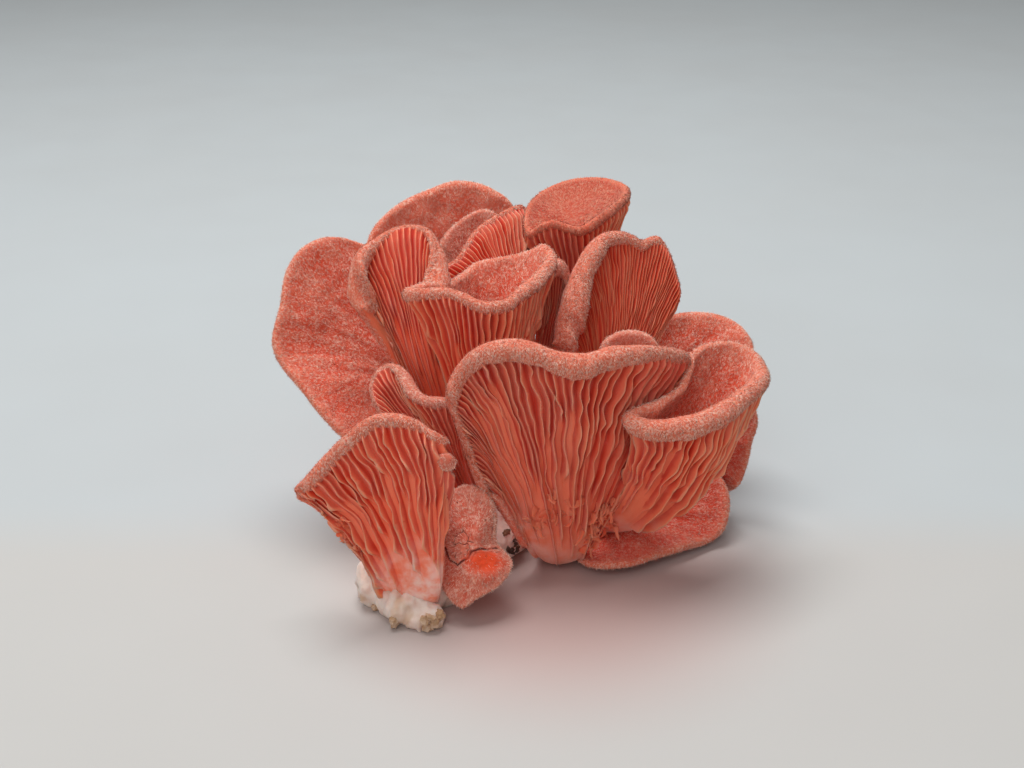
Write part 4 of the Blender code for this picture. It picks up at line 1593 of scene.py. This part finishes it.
@dataclass(frozen=True)
class Tatters:
    """Torn ends of gills that curl away from the flesh they hang on."""

    name: str
    node: str
    finish: Flesh
    hosts: tuple                 # names of the mushrooms they hang on
    places: tuple                # (across, up, spread across, spread up, how many), as the eye sees it
    length: tuple = (2.2, 5.0)
    width: tuple = (0.9, 2.1)
    thickness: float = 0.16
    rooted: float = 0.3          # how deep they start
    least: float = 0.04          # half the width at the tip
    seed: int = 51

    rows = 9
    sides = 10

    def build(self, grown: dict) -> None:
        """Makes the bits where the eye's rays meet the mushrooms.

        Args:
            grown: name to each mushroom.
        """
        draw = np.random.default_rng(self.seed)
        sight = Sight([grown[name] for name in self.hosts])
        data = MeshData()
        for across, up, wide, tall, count in self.places:
            for _ in range(count):
                hit, normal = sight.meet(across + wide * draw.uniform(-1, 1),
                                         up + tall * draw.uniform(-1, 1))
                if hit is not None:
                    self.curl(data, np.array(hit) / MM, np.array(normal), draw)
        show(data.make(self.name), self.node, self.finish.material())

    def curl(self, data: MeshData, root: np.ndarray, normal: np.ndarray,
             draw: np.random.Generator) -> None:
        """Adds one flat tapered strip that leaves the flesh and curls.

        Args:
            data: the mesh.
            root: where the strip starts.
            normal: of the flesh there.
            draw: source of its random turns.
        """
        normal = unit(normal + 0.3 * draw.normal(size=3))
        way = np.array((0.0, 0.0, -1.0)) + 0.55 * draw.normal(size=3)
        way = unit(way - way.dot(normal) * normal)
        side = np.cross(way, normal)
        length, width = draw.uniform(*self.length), draw.uniform(*self.width)
        s = np.linspace(0, 1, self.rows)[:, None]
        bend = draw.uniform(0.9, 2.2) * s
        drift = draw.uniform(-0.5, 0.5) * s**2
        line = root - self.rooted * normal + length * (
            (np.sin(bend) / 1.4) * way + (0.12 + 0.45 * s**1.6) * normal + drift * side)
        ragged = 1 + 0.25 * draw.normal(size=(self.rows, 1))
        half = width / 2 * (1 - s**2.5) * ragged + self.least
        turn = np.linspace(0, 2 * math.pi, self.sides, endpoint=False)[None, :, None]
        twist = draw.uniform(-0.9, 0.9) * s
        across = np.cos(twist) * side + np.sin(twist) * normal
        deep = np.cos(twist) * normal - np.sin(twist) * side
        ring = (line[:, None, :] + half[:, None] * np.cos(turn) * across[:, None, :]
                + self.thickness * np.sin(turn) * deep[:, None, :])
        # Near its root a strip takes the gills' painted shade.
        grid = data.add(ring, under=1.0, crest=0.5 * s + 0.5 * np.abs(np.cos(turn[..., 0]))**6,
                        sunk=0.35 * (1 - s), streak=draw.uniform(-1, 1))
        data.strip(grid.T, True, flip=True)
        data.faces += [grid[0].tolist(), grid[-1][::-1].tolist()]


@dataclass(frozen=True)
class Lamp:
    """A square soft light, with its lengths in metres and its power in watts."""

    name: str
    place: tuple
    target: tuple
    size: float
    power: float

    def build(self) -> None:
        """Hangs the lamp and points it at its target."""
        lamp = bpy.data.lights.new(self.name, "AREA")
        lamp.size = self.size
        lamp.energy = self.power
        thing = put(self.name, lamp)
        thing.location = self.place
        way = Vector(self.target) - Vector(self.place)
        thing.rotation_euler = way.to_track_quat("-Z", "Y").to_euler()


@dataclass(frozen=True)
class Studio:
    """A pale floor with a painted reddish shadow round the cluster, soft light from above, and the
    camera at the photograph's angle.
    """

    floor_size: float = 4.0                  # metres
    warm: tuple = srgb(198, 197, 194)        # the floor toward the camera
    cool: tuple = srgb(194, 200, 202)        # and behind the cluster
    cloudy: tuple = srgb(182, 179, 176)
    pink_tint_and_painted_bounce: tuple = srgb(182, 112, 100)       # painted reddish shadow and bounce light on the floor, in place of light that the caps throw back
    painted_bounce_centre: tuple = (0.010, -0.026, 0.0)
    lamps: tuple = (Lamp("overhead", (-0.10, 0.14, 0.85), (0, 0, 0.02), 0.5, 6.4),
                    Lamp("front fill", (-0.35, -0.9, 0.75), (0, 0, 0.03), 0.9, 4.1))
    sky: tuple = srgb(241, 240, 239)
    sky_strength: float = 0.27
    focal: float = 50.0
    sensor: float = 36.0
    near_clip: float = 0.01

    def build(self) -> None:
        """Sets up everything round the cluster."""
        self.floor()
        for lamp in self.lamps:
            lamp.build()
        self.world()
        self.camera()

    def floor(self) -> None:
        """The floor, warmer near the camera and cooler behind the cluster, with a painted reddish
        shadow and bounce light round the cluster.
        """
        mesh = bpy.data.meshes.new("floor")
        half = self.floor_size / 2
        mesh.from_pydata([(-half, -half, 0), (half, -half, 0), (half, half, 0), (-half, half, 0)],
                         [], [(0, 1, 2, 3)])
        ground = Surface("floor")
        depth = ground.node("ShaderNodeSeparateXYZ", {0: ground.place()}).outputs[1]
        colour = ground.mix(ground.span(depth, -0.02, 0.012), self.warm, self.cool)
        cloud = ground.span(ground.noise(9.0), 0.3, 0.7, 0.0, 0.12)
        colour = ground.mix(cloud, colour, self.cloudy)
        # Painted reddish shadow and bounce light, strongest round the cluster's foot.
        away = ground.node("ShaderNodeVectorMath", {0: ground.place(), 1: self.painted_bounce_centre},
                           operation="DISTANCE").outputs["Value"]
        colour = ground.mix(ground.span(away, 0.015, 0.060, 0.45, 0.0), colour, self.pink_tint_and_painted_bounce)
        ground.wear(Base_Color=colour,
                    Roughness=ground.span(ground.noise(30.0), 0.3, 0.7, 0.6, 0.75))
        ground.fix(Specular_IOR_Level=0.2)
        mesh.materials.append(ground.material)
        put("floor", mesh)

    def world(self) -> None:
        """Even light from all round."""
        world = bpy.data.worlds.new("studio")
        world.use_nodes = True
        background = world.node_tree.nodes["Background"]
        background.inputs["Color"].default_value = self.sky
        background.inputs["Strength"].default_value = self.sky_strength
        bpy.context.scene.world = world

    def camera(self) -> None:
        """A camera about where the photograph's was."""
        lens = bpy.data.cameras.new("camera")
        lens.lens = self.focal
        lens.sensor_width = self.sensor
        lens.clip_start = self.near_clip
        thing = put("camera", lens)
        thing.location = [MM * v for v in VIEW.eye]
        way = Vector((0, 0, MM * VIEW.height)) - thing.location
        thing.rotation_euler = way.to_track_quat("-Z", "Y").to_euler()
        bpy.context.scene.camera = thing
        bpy.context.scene.view_settings.view_transform = "Standard"


SALMON = Flesh("salmon flesh")
CORAL = Flesh("coral flesh", skin=srgb(216, 98, 70), deep=srgb(214, 72, 40),
              edge=srgb(250, 148, 114), flank=srgb(240, 108, 72), valley=srgb(204, 42, 16))
PALE_STEM = Flesh("salmon flesh with a pale stem", stem=srgb(255, 216, 204),
                  flank=srgb(250, 120, 82), valley=srgb(214, 52, 20))
DEEP = Flesh("deep coral flesh", skin=srgb(220, 86, 60), deep=srgb(212, 58, 30),
             flank=srgb(226, 84, 54), valley=srgb(204, 42, 16), speckle=0.45)
# A brighter copy of the coral flesh: painted light on the cap at the top left.
PAINTED_LIGHT_CORAL = Flesh("bright coral flesh", skin=srgb(238, 124, 96), deep=srgb(228, 88, 56),
               flank=srgb(240, 108, 72), valley=srgb(204, 42, 16))
# A darker copy of the coral flesh: painted shade on the tallest cap at the top right.
PAINTED_SHADE_CORAL = Flesh("lit coral flesh", skin=srgb(190, 78, 52), deep=srgb(182, 56, 30),
                pale=srgb(228, 166, 140), rim=srgb(222, 108, 80), flank=srgb(236, 100, 66),
                valley=srgb(204, 42, 16))
ROSE = Flesh("rose flesh", skin=srgb(214, 112, 88), deep=srgb(206, 84, 58), rim=srgb(216, 116, 92),
             flank=srgb(228, 104, 78), valley=srgb(204, 54, 30))

CAPS = [
    # The largest mushroom, gills to the front
    Cap("cap_front", SALMON,
        [(10, -7, 6), seen(13.2, -56, 12), seen(9.5, -20, 18)], (4.2, 5.2, 9.5), 3.8,
        [(-1.6, -24.6, 19, 0.9), (-5.2, -24.6, 21, 1.1), (-8.3, -22, 21.5, 1.4),
         (-10.6, -15.5, 22, 1.6), (-12.8, -8.3, 24, 1.7), (-14.9, -2.4, 25.5, 1.8),
         (-12.8, 3.6, 27, 1.9), (-7.9, 8.6, 29, 2.2), (-1.4, 10.6, 30, 2.4), (5, 9.9, 31, 2.5),
         (10, 7.9, 31, 2.6), (15.5, 7.5, 31, 2.8), (21.8, 8.8, 30, 2.5), (29, 9, 27, 1.9),
         (36, 8.3, 21, 1.6), (39.2, 6.6, 15, 1.3), (38, 1.5, 10, 1.0), (35, -4, 8, 0.9)],
        42, across=(1, 0, 0), seed=1, taper=10,
        arch=((0, 4), (0.1, 7), (0.22, 7), (0.36, 5.5), (0.5, 3.5), (0.65, 1.5), (0.8, 0), (1, 0)),
        gills=Gills(height=2.1, spacing=((0, 1.25), (0.3, 1.4), (0.42, 2.2), (0.75, 2.1), (1, 1.4)),
                    sway=1.7, lean=1.1, long_start=0.27, middle_start=0.46, short_start=0.66,
                    late=((0, 0.36), (0.15, 0.32), (0.3, 0.16), (0.42, 0), (1, 0)),
                    # painted red glow and shade in the pocket at the right end of the gills
                    glow=((0, 0), (0.6, 0), (0.75, 0.6), (0.88, 1), (1, 1)), fade=0.02)),
    # The folded lobe in front of its right part
    Cap("cap_front_right", CORAL,
        [(19, -5, 6), seen(27.6, -35.5, 9), seen(37.5, -17, 17)], (3.0, 4.4, 9.6), 3.0,
        [(28, -6.2, 27, 2.0), (31, -7.4, 28, 2.2), (35.5, -7.4, 28, 2.4), (41.3, -6.2, 26, 2.5),
         (46.4, -3.8, 23, 2.6), (50.6, -0.9, 19, 2.4), (54.0, 1.5, 15, 2.2), (56.0, 4.2, 11, 1.9),
         (55.2, 7.0, 8, 1.6), (51, 9.2, 7, 1.3), (46, 9.5, 9, 1.1), (41.5, 7.8, 13, 1.0),
         (40, 3, 17, 0.9), (38, -1, 20, 0.9), (33, -4.0, 24, 1.3)],
        26, Form.FUNNEL, oval=0.45, seed=2,
        gills=Gills(height=2.0, spacing=((0, 1.7), (1, 1.7)), sway=0.9, lean=0.8, long_start=0.36,
                    middle_start=0.5, short_start=0.66)),
    # The fan at the lower left, gills to the front
    Cap("cap_lower_left", PALE_STEM,
        [(-19.5, -32, 4), seen(-22.3, -57, 26), seen(-23.3, -34, 27)], (3.5, 8.4, 9), 3.0,
        [(-36.4, -34.4, 27, 0.6), (-39.4, -33.4, 28, 0.6), (-39.0, -31.2, 28.5, 0.5),
         (-41.0, -28.8, 29, 0.7), (-45, -26.3, 30, 0.8), (-49, -24, 31, 1.1), (-47, -21.3, 32, 1.4),
         (-42.5, -16.2, 33, 1.5), (-37.3, -11.1, 35, 1.5),
         (-33.9, -8.3, 36, 1.5), (-30.4, -6.8, 37, 1.4), (-26.3, -6.6, 38, 1.3),
         (-21.8, -7.9, 37.5, 1.3), (-18.4, -10.1, 37, 1.3), (-16.0, -11.6, 36.5, 1.3),
         (-17.0, -15.5, 35, 1.0)],
        26, seed=3, gills=Gills(height=2.0, spacing=((0, 1.4), (1, 1.9)), sway=1.2, lean=0.9,
                                 long_start=0.25, middle_start=0.42, short_start=0.62,
                                 fade=0.14)),
    # The tall mushroom left of the centre, with a pocket of gills
    Cap("cap_centre_tall", CORAL,
        [(-10, -3, 9), seen(-18.3, -2, 7), seen(-23.5, 14, 7)], (2.8, 5.0, 4.6), 2.8,
        [(-33.5, 17, 11, 1.6),
         (-36.8, 21, 10, 2.8), (-37.2, 25.5, 8, 3.2), (-35, 29.6, 6, 2.4), (-31, 32.6, 5, 1.5),
         (-27, 35, 4, 0.9),
         (-22.5, 35.9, 4, 0.9), (-18.6, 34.9, 5, 1.3), (-16, 31, 7, 2.0), (-15, 27.9, 9, 2.6),
         (-14.9, 24.8, 11, 3.0), (-15.2, 22, 13, 3.1)],
        20, seed=4, taper=10),
    # The funnel that forks from the same stem
    Cap("cap_centre_funnel", CORAL,
        [(-3, -5, 10), seen(-7.5, -2, 10), seen(-6.5, 6, 10)], (3.0, 5.6, 7.6), 3.2,
        [(-23.6, 21.6, 17, 1.6), (-20, 21.8, 19, 1.4), (-15, 21.9, 20, 1.3), (-11, 20.8, 21, 1.4),
         (-6.5, 18.8, 22, 1.5), (-1.5, 19.4, 20, 1.5), (2.5, 22.6, 16, 1.7), (6, 26, 10, 1.8),
         (8.5, 29.4, 4, 1.6), (7.2, 31.6, 0, 1.5), (3.5, 30, -1, 1.4), (-2, 28.6, -1, 1.2),
         (-7.5, 27.6, 0, 1.2), (-11.3, 24.6, 4, 1.2), (-15, 22.8, 10, 1.2), (-19.5, 22.9, 15, 1.4)],
        28, Form.FUNNEL, seed=5),
    # The small folded mushroom between the two
    Cap("cap_small_left", ROSE,
        [(-8, -11, 9), seen(-13, -22, 13), seen(-17, -12, 15)], (2.4, 2.6, 3), 2.4,
        [(-28.5, -9, 16, 0.5), (-31.4, -3.5, 16, 0.5), (-32, 0, 15, 0.6),
         (-30.6, 3, 15, 0.7), (-28, 4.6, 15, 0.9), (-25.2, 3.6, 17, 1.4), (-22.6, -0.4, 19, 1.6),
         (-19.5, -2.3, 19, 1.5), (-15, -3, 18, 1.3), (-11.5, -5, 16, 1.0)],
        14, seed=6),
    # The large downy cap at the far left, gills away
    Cap("cap_left", CORAL,
        [(-12, 3, 8), seen(-16, -14, -8), seen(-23, 6, -13)], (3.6, 3.8, 4.5), 3.6,
        [(-22, 24, -16, 0.8), (-27, 29.5, -15, 0.9), (-33.5, 31.3, -11, 1.0),
         (-38, 32.8, -9, 1.0), (-43, 32.8, -7, 1.0), (-48, 30, -4, 1.0), (-51, 25, -2, 1.0),
         (-52.2, 18, 0, 1.0), (-53.9, 10, 2, 1.0), (-52.3, 5, 3, 1.0), (-48, -0.5, 5, 1.0),
         (-42, -8, 6, 1.0), (-37, -12.5, 6, 1.0), (-30, -16.5, 3, 0.9), (-23, -18, -2, 0.8)],
        20, seed=7),
    # The large downy cap at the top left, behind, gills away
    Cap("cap_top_left", PAINTED_LIGHT_CORAL,
        [(-9, 12, 7), seen(-9, 6, -31), seen(-12, 24, -33)], (3.0, 3.2, 4), 3.0,
        [(3.5, 34, -29, 0.9), (-0.5, 41.1, -27, 1.2), (-4.3, 43.8, -26, 1.5),
         (-8.3, 45.3, -26, 1.6), (-13, 45.6, -26, 1.6), (-18.5, 43.7, -25, 1.5),
         (-23.2, 41.8, -23, 1.3), (-27.5, 39, -21, 1.2), (-31, 35, -19, 1.1),
         (-33, 29.5, -19, 1.0), (-31.5, 23, -22, 0.9)],
        18, seed=8),
    # The gilled fan at the top, in the middle
    Cap("cap_top_middle", DEEP,
        [(-1, 6, 11), seen(1.5, 6, -9), seen(0.5, 20, -11)], (2.6, 5.0, 5.6), 2.6,
        [(-14, 20.5, -4, 0.6), (-15.9, 25.8, -5, 0.7),
         (-12.8, 28.1, -7, 0.8), (-11.1, 30.4, -8, 0.8), (-8.6, 34.4, -10, 0.9),
         (-5.6, 36.9, -12, 0.9), (-1.5, 39.2, -15, 0.9), (2.2, 40.3, -19, 0.9), (3.2, 38, -22, 0.8),
         (3.2, 33, -21, 0.7)],
        16, seed=9, gills=Gills(height=1.4, spacing=((0, 1.25), (1, 1.25)), sway=0.8, lean=0.4)),
    # The small downy cap just behind it, gills away
    Cap("cap_top_small", ROSE,
        [(-2.5, 11, 10), seen(-5, 14, -18), seen(-8, 26, -18)], (1.8, 1.9, 2.2), 1.8,
        [(-4, 34, -17, 0.7), (-3.8, 38.4, -17, 0.8), (-7.2, 39.2, -17, 0.9),
         (-11.5, 36.9, -16, 0.9), (-14.6, 34.2, -15, 0.9), (-16.2, 31, -14, 0.9),
         (-14, 27, -14, 0.7)],
        10, seed=10),
    # The tallest cap, downy above, gills all round below
    Cap("cap_top_right", PAINTED_SHADE_CORAL,
        [(7, 12, 9), seen(13, 4, -25), seen(14.5, 24, -22)], (3.0, 3.2, 3.6), 3.2,
        [(4.0, 34.6, -9, 1.0), (6.8, 36.4, -8, 1.1), (9.6, 36.9, -7, 1.1), (12.4, 36.0, -7, 1.1),
         (15.4, 35.6, -7, 1.2), (18.6, 37.6, -8, 1.3), (22.0, 40.0, -11, 1.3),
         (24.8, 42.6, -15, 1.3), (25.2, 44.9, -20, 1.3), (20, 46.5, -25, 1.1),
         (13, 46.0, -26, 1.1), (7.3, 43.7, -23, 1.0), (4, 40.6, -16, 1.0), (3.1, 37, -11, 1.0)],
        18, Form.CLOSED, crown=-3.6, seed=11),
    # The tall fan at the right, gills to the front and the right
    Cap("cap_right_top", CORAL,
        [(11, 4, 10), seen(18, -8, -4), seen(25, 6, -8)], (3.4, 3.6, 4), 3.4,
        [(8.6, 9, 3, 3.2), (10, 18, 3, 3.6), (12.8, 25.4, 2, 3.6),
         (16.2, 30.8, 1, 2.8), (20, 33.8, -1, 2.0), (23.5, 34.5, -3, 1.7), (27, 33.5, -5, 1.4),
         (29, 32.4, -6, 1.3), (32.6, 33.3, -8, 1.1), (35, 30.5, -9, 0.7), (37, 25.4, -10, 0.7),
         (38, 20.5, -11, 0.7), (36.5, 16, -11, 0.7)],
        26, seed=12, taper=14,
        gills=Gills(height=0.8, spacing=((0, 1.05), (1, 1.05)), sway=0.8, lean=0.4, long_start=0.3,
                    # painted red glow and shade over all its gills
                    glow=((0, 0.35), (1, 0.35)))),
    # The downy cap behind the right side, gills away
    Cap("cap_right_back", CORAL,
        [(17, 9, 8), seen(26, -4, -18), seen(37, 4, -21)], (2.8, 3.0, 3.4), 2.8,
        [(49, -1, -13, 0.8), (53.8, 4, -14, 1.1), (54.1, 9, -15, 1.3), (51.8, 12.8, -17, 1.5),
         (48.4, 15, -19, 1.6), (44, 16.1, -20, 1.6), (38, 16, -21, 1.4), (32, 13.9, -21, 1.1),
         (28, 8, -22, 0.8)],
        14, seed=13),
    # The cap at the far right edge, gills away
    Cap("cap_far_right", DEEP,
        [(21.5, 6, 7), seen(32, -16, -14), seen(42, -14, -14)], (2.4, 2.6, 3), 2.2,
        [(45, -21, -18, 0.7), (48.5, -23.5, -16, 0.8), (51, -22.8, -11, 0.9), (52.8, -18.5, -8, 0.9),
         (53.8, -13.5, -5, 0.9), (55.2, -8.3, -4, 0.9), (53.5, -3.5, -4, 0.9),
         (47, -2, -6, 0.8)],
        12, seed=14),
    # The low cap at the lower right, downy side up, gills to the floor
    Cap("cap_low_right", DEEP,
        [(22.5, 1, 4), seen(24, -33, -9), seen(29, -29, -9)], (2.4, 3.0, 4), 2.4,
        [(13.8, -35.0, 1, 0.8), (14.6, -39.4, 4, 0.9), (18.4, -41.4, 8, 0.8), (25.9, -41.2, 8, 0.8),
         (32, -39.4, 5, 0.8), (37.9, -37.6, 1, 0.9), (44, -35.6, -3, 1.0), (47.8, -32.6, -5, 1.0),
         (49, -26.5, -7, 1.0), (47.5, -21.6, -9, 0.9), (43, -19, -12, 0.8), (36, -19, -15, 0.7)],
        18, seed=15),
    # The young cracked cap at the lower front, its hollow to the front
    Cap("cap_cracked", ROSE,
        [(-9, -24, 6), seen(-9, -38, 12), seen(-9, -37, 17)], (3.5, 3.6, 4), 3.5,
        [(-10, -23.4, 22, 1.6), (-13.4, -25, 22, 1.5), (-14.8, -30, 22, 1.3), (-15, -38, 22, 1.3),
         (-15, -46, 23, 1.2), (-11.5, -50.2, 25, 1.0), (-8.2, -48.2, 26, 0.9),
         (-3, -45.2, 25, 0.9), (0, -40.6, 23, 0.9), (-2, -37.8, 22, 0.9), (-4.2, -35.6, 22, 1.0),
         (-4.4, -29.5, 22, 1.3), (-6, -25, 22, 1.5)],
        20, Form.CLOSED, crown=2.6, seed=16, gills=Gills(height=0.0), detail=4,
        marks=(Dent((-6.1, -40.0), (5.2, 3.4), 0.7, 0.0),
               Crack(((-15.5, -36.0), (-14.0, -39.6), (-12.4, -40.7), (-10.4, -39.6), (-9.7, -39.2),
                      (-8.8, -37.6), (-7.7, -37.1), (-5.5, -37.4), (-3.2, -36.9))),
               Crazing((-11.8, -36.2), (3.6, 4.6)))),
    # The pin that curls out beside the lower left fan
    Cap("cap_lower_left", ROSE,
        [(-18, -30, 8), seen(-15.6, -26, 31), seen(-15.2, -21, 34)], (1.2, 1.3, 1.6), 1.2,
        [(-16.2, -16.0, 37, 0.8), (-14.2, -15.6, 37, 0.8), (-12.9, -16.9, 37, 0.8),
         (-13.2, -18.8, 37.5, 0.8), (-15.0, -19.4, 37.5, 0.8), (-16.3, -18.0, 37.5, 0.8)],
        8, Form.CLOSED, crown=1.2, seed=19, label="pin", gills=Gills(height=0.0)),
    # The small knob behind the funnel
    Cap("cap_small_centre", ROSE,
        [(3, 1, 11), seen(6, 4, -2), seen(9.2, 14, -3)], (2.0, 2.0, 2.2), 1.6,
        [(6.4, 22, 2, 1.2), (7.4, 26.2, 3, 1.8), (9.8, 28.6, 3, 2.0),
         (12.2, 27.2, 2, 1.8), (13.5, 22, 1, 1.2)],
        8, seed=17),
    # The bump behind the front rim, gills away
    Cap("cap_bud_right", ROSE,
        [(12, -3, 10), seen(22, -10, 4), seen(26, 0, 5)], (1.8, 1.9, 2.2), 1.8,
        [(33, 5, 9, 0.8), (32.5, 9.3, 9, 0.9), (30, 11.4, 9, 1.0), (26.3, 12.1, 9, 1.0),
         (22.9, 11.3, 9, 1.0), (20.2, 9, 9, 0.9), (20, 5, 9, 0.8)],
        10, seed=18),
]

# Lumps of the foot, world centre and radii: the creamy ones at the lower left first
LUMPS = (
    ((-29, -32, 3.5), (4, 5, 7.2)),
    ((-22.5, -37.5, 3), (5.6, 6, 6)),
    ((-18, -41.3, 1.5), (3.8, 3.6, 4)),
    ((-16.5, -32, 3), (5, 7, 5)),
    ((-18, -24, 4), (9, 10, 7)),
    ((-8, -12, 5), (11, 11, 8)),
    ((4, -1, 6), (14, 11, 9.5)),
    ((13, 1, 4), (12, 10, 8)),
    ((-6, 7, 4), (11, 10, 8)),
    ((9, 10, 3.5), (11, 9, 7.5)),
)

CRUMBS = (
    Crumbs("growing_medium_bits",
           ((-0.2, -37.2, 0.6, 7), (2.4, -35.2, 0.6, 7), (4.6, -33.6, 0.4, 5),
            (4.3, -31.4, 0.2, 2), (-1.3, -33.2, 0.4, 4), (0.9, -36.2, 0.5, 4)),
           0.3, 0.75, srgb(74, 48, 38), srgb(146, 104, 78)),
    Crumbs("dried_bits",
           ((-27.2, -53.2, 0.8, 5), (-17.2, -52.4, 0.7, 5), (-19.2, -53.6, 0.6, 3),
            (-30.6, -50.6, 0.4, 2)),
           0.7, 1.3, srgb(184, 144, 108), srgb(222, 194, 168)),
)

TATTERS = (
    Tatters("front_torn_gills", "cap_front", SALMON, ("front_mushroom", "front_right_mushroom"),
            ((20.3, -29.5, 3.2, 4.5, 34), (12.5, -27, 4.5, 3.5, 12), (17.5, -34.5, 3.5, 2.0, 8),
             (5.5, -29, 2.5, 3.0, 5))),
    Tatters("lower_left_torn_edge", "cap_lower_left", PALE_STEM, ("lower_left_mushroom",),
            ((-38.0, -31.5, 1.6, 2.4, 9),), length=(1.2, 2.4)),
)


def main() -> None:
    """Builds the cluster and the studio."""
    logging.basicConfig(level=logging.INFO, format="%(name)s %(message)s")
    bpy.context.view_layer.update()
    Effects.make_all()
    foot = Foot(LUMPS).build()
    for crumbs in CRUMBS:
        crumbs.build(foot)
    grown = {cap.name: cap.build() for cap in CAPS}
    for tatters in TATTERS:
        tatters.build(grown)
    Studio().build()


if __name__ == "__main__":
    main()
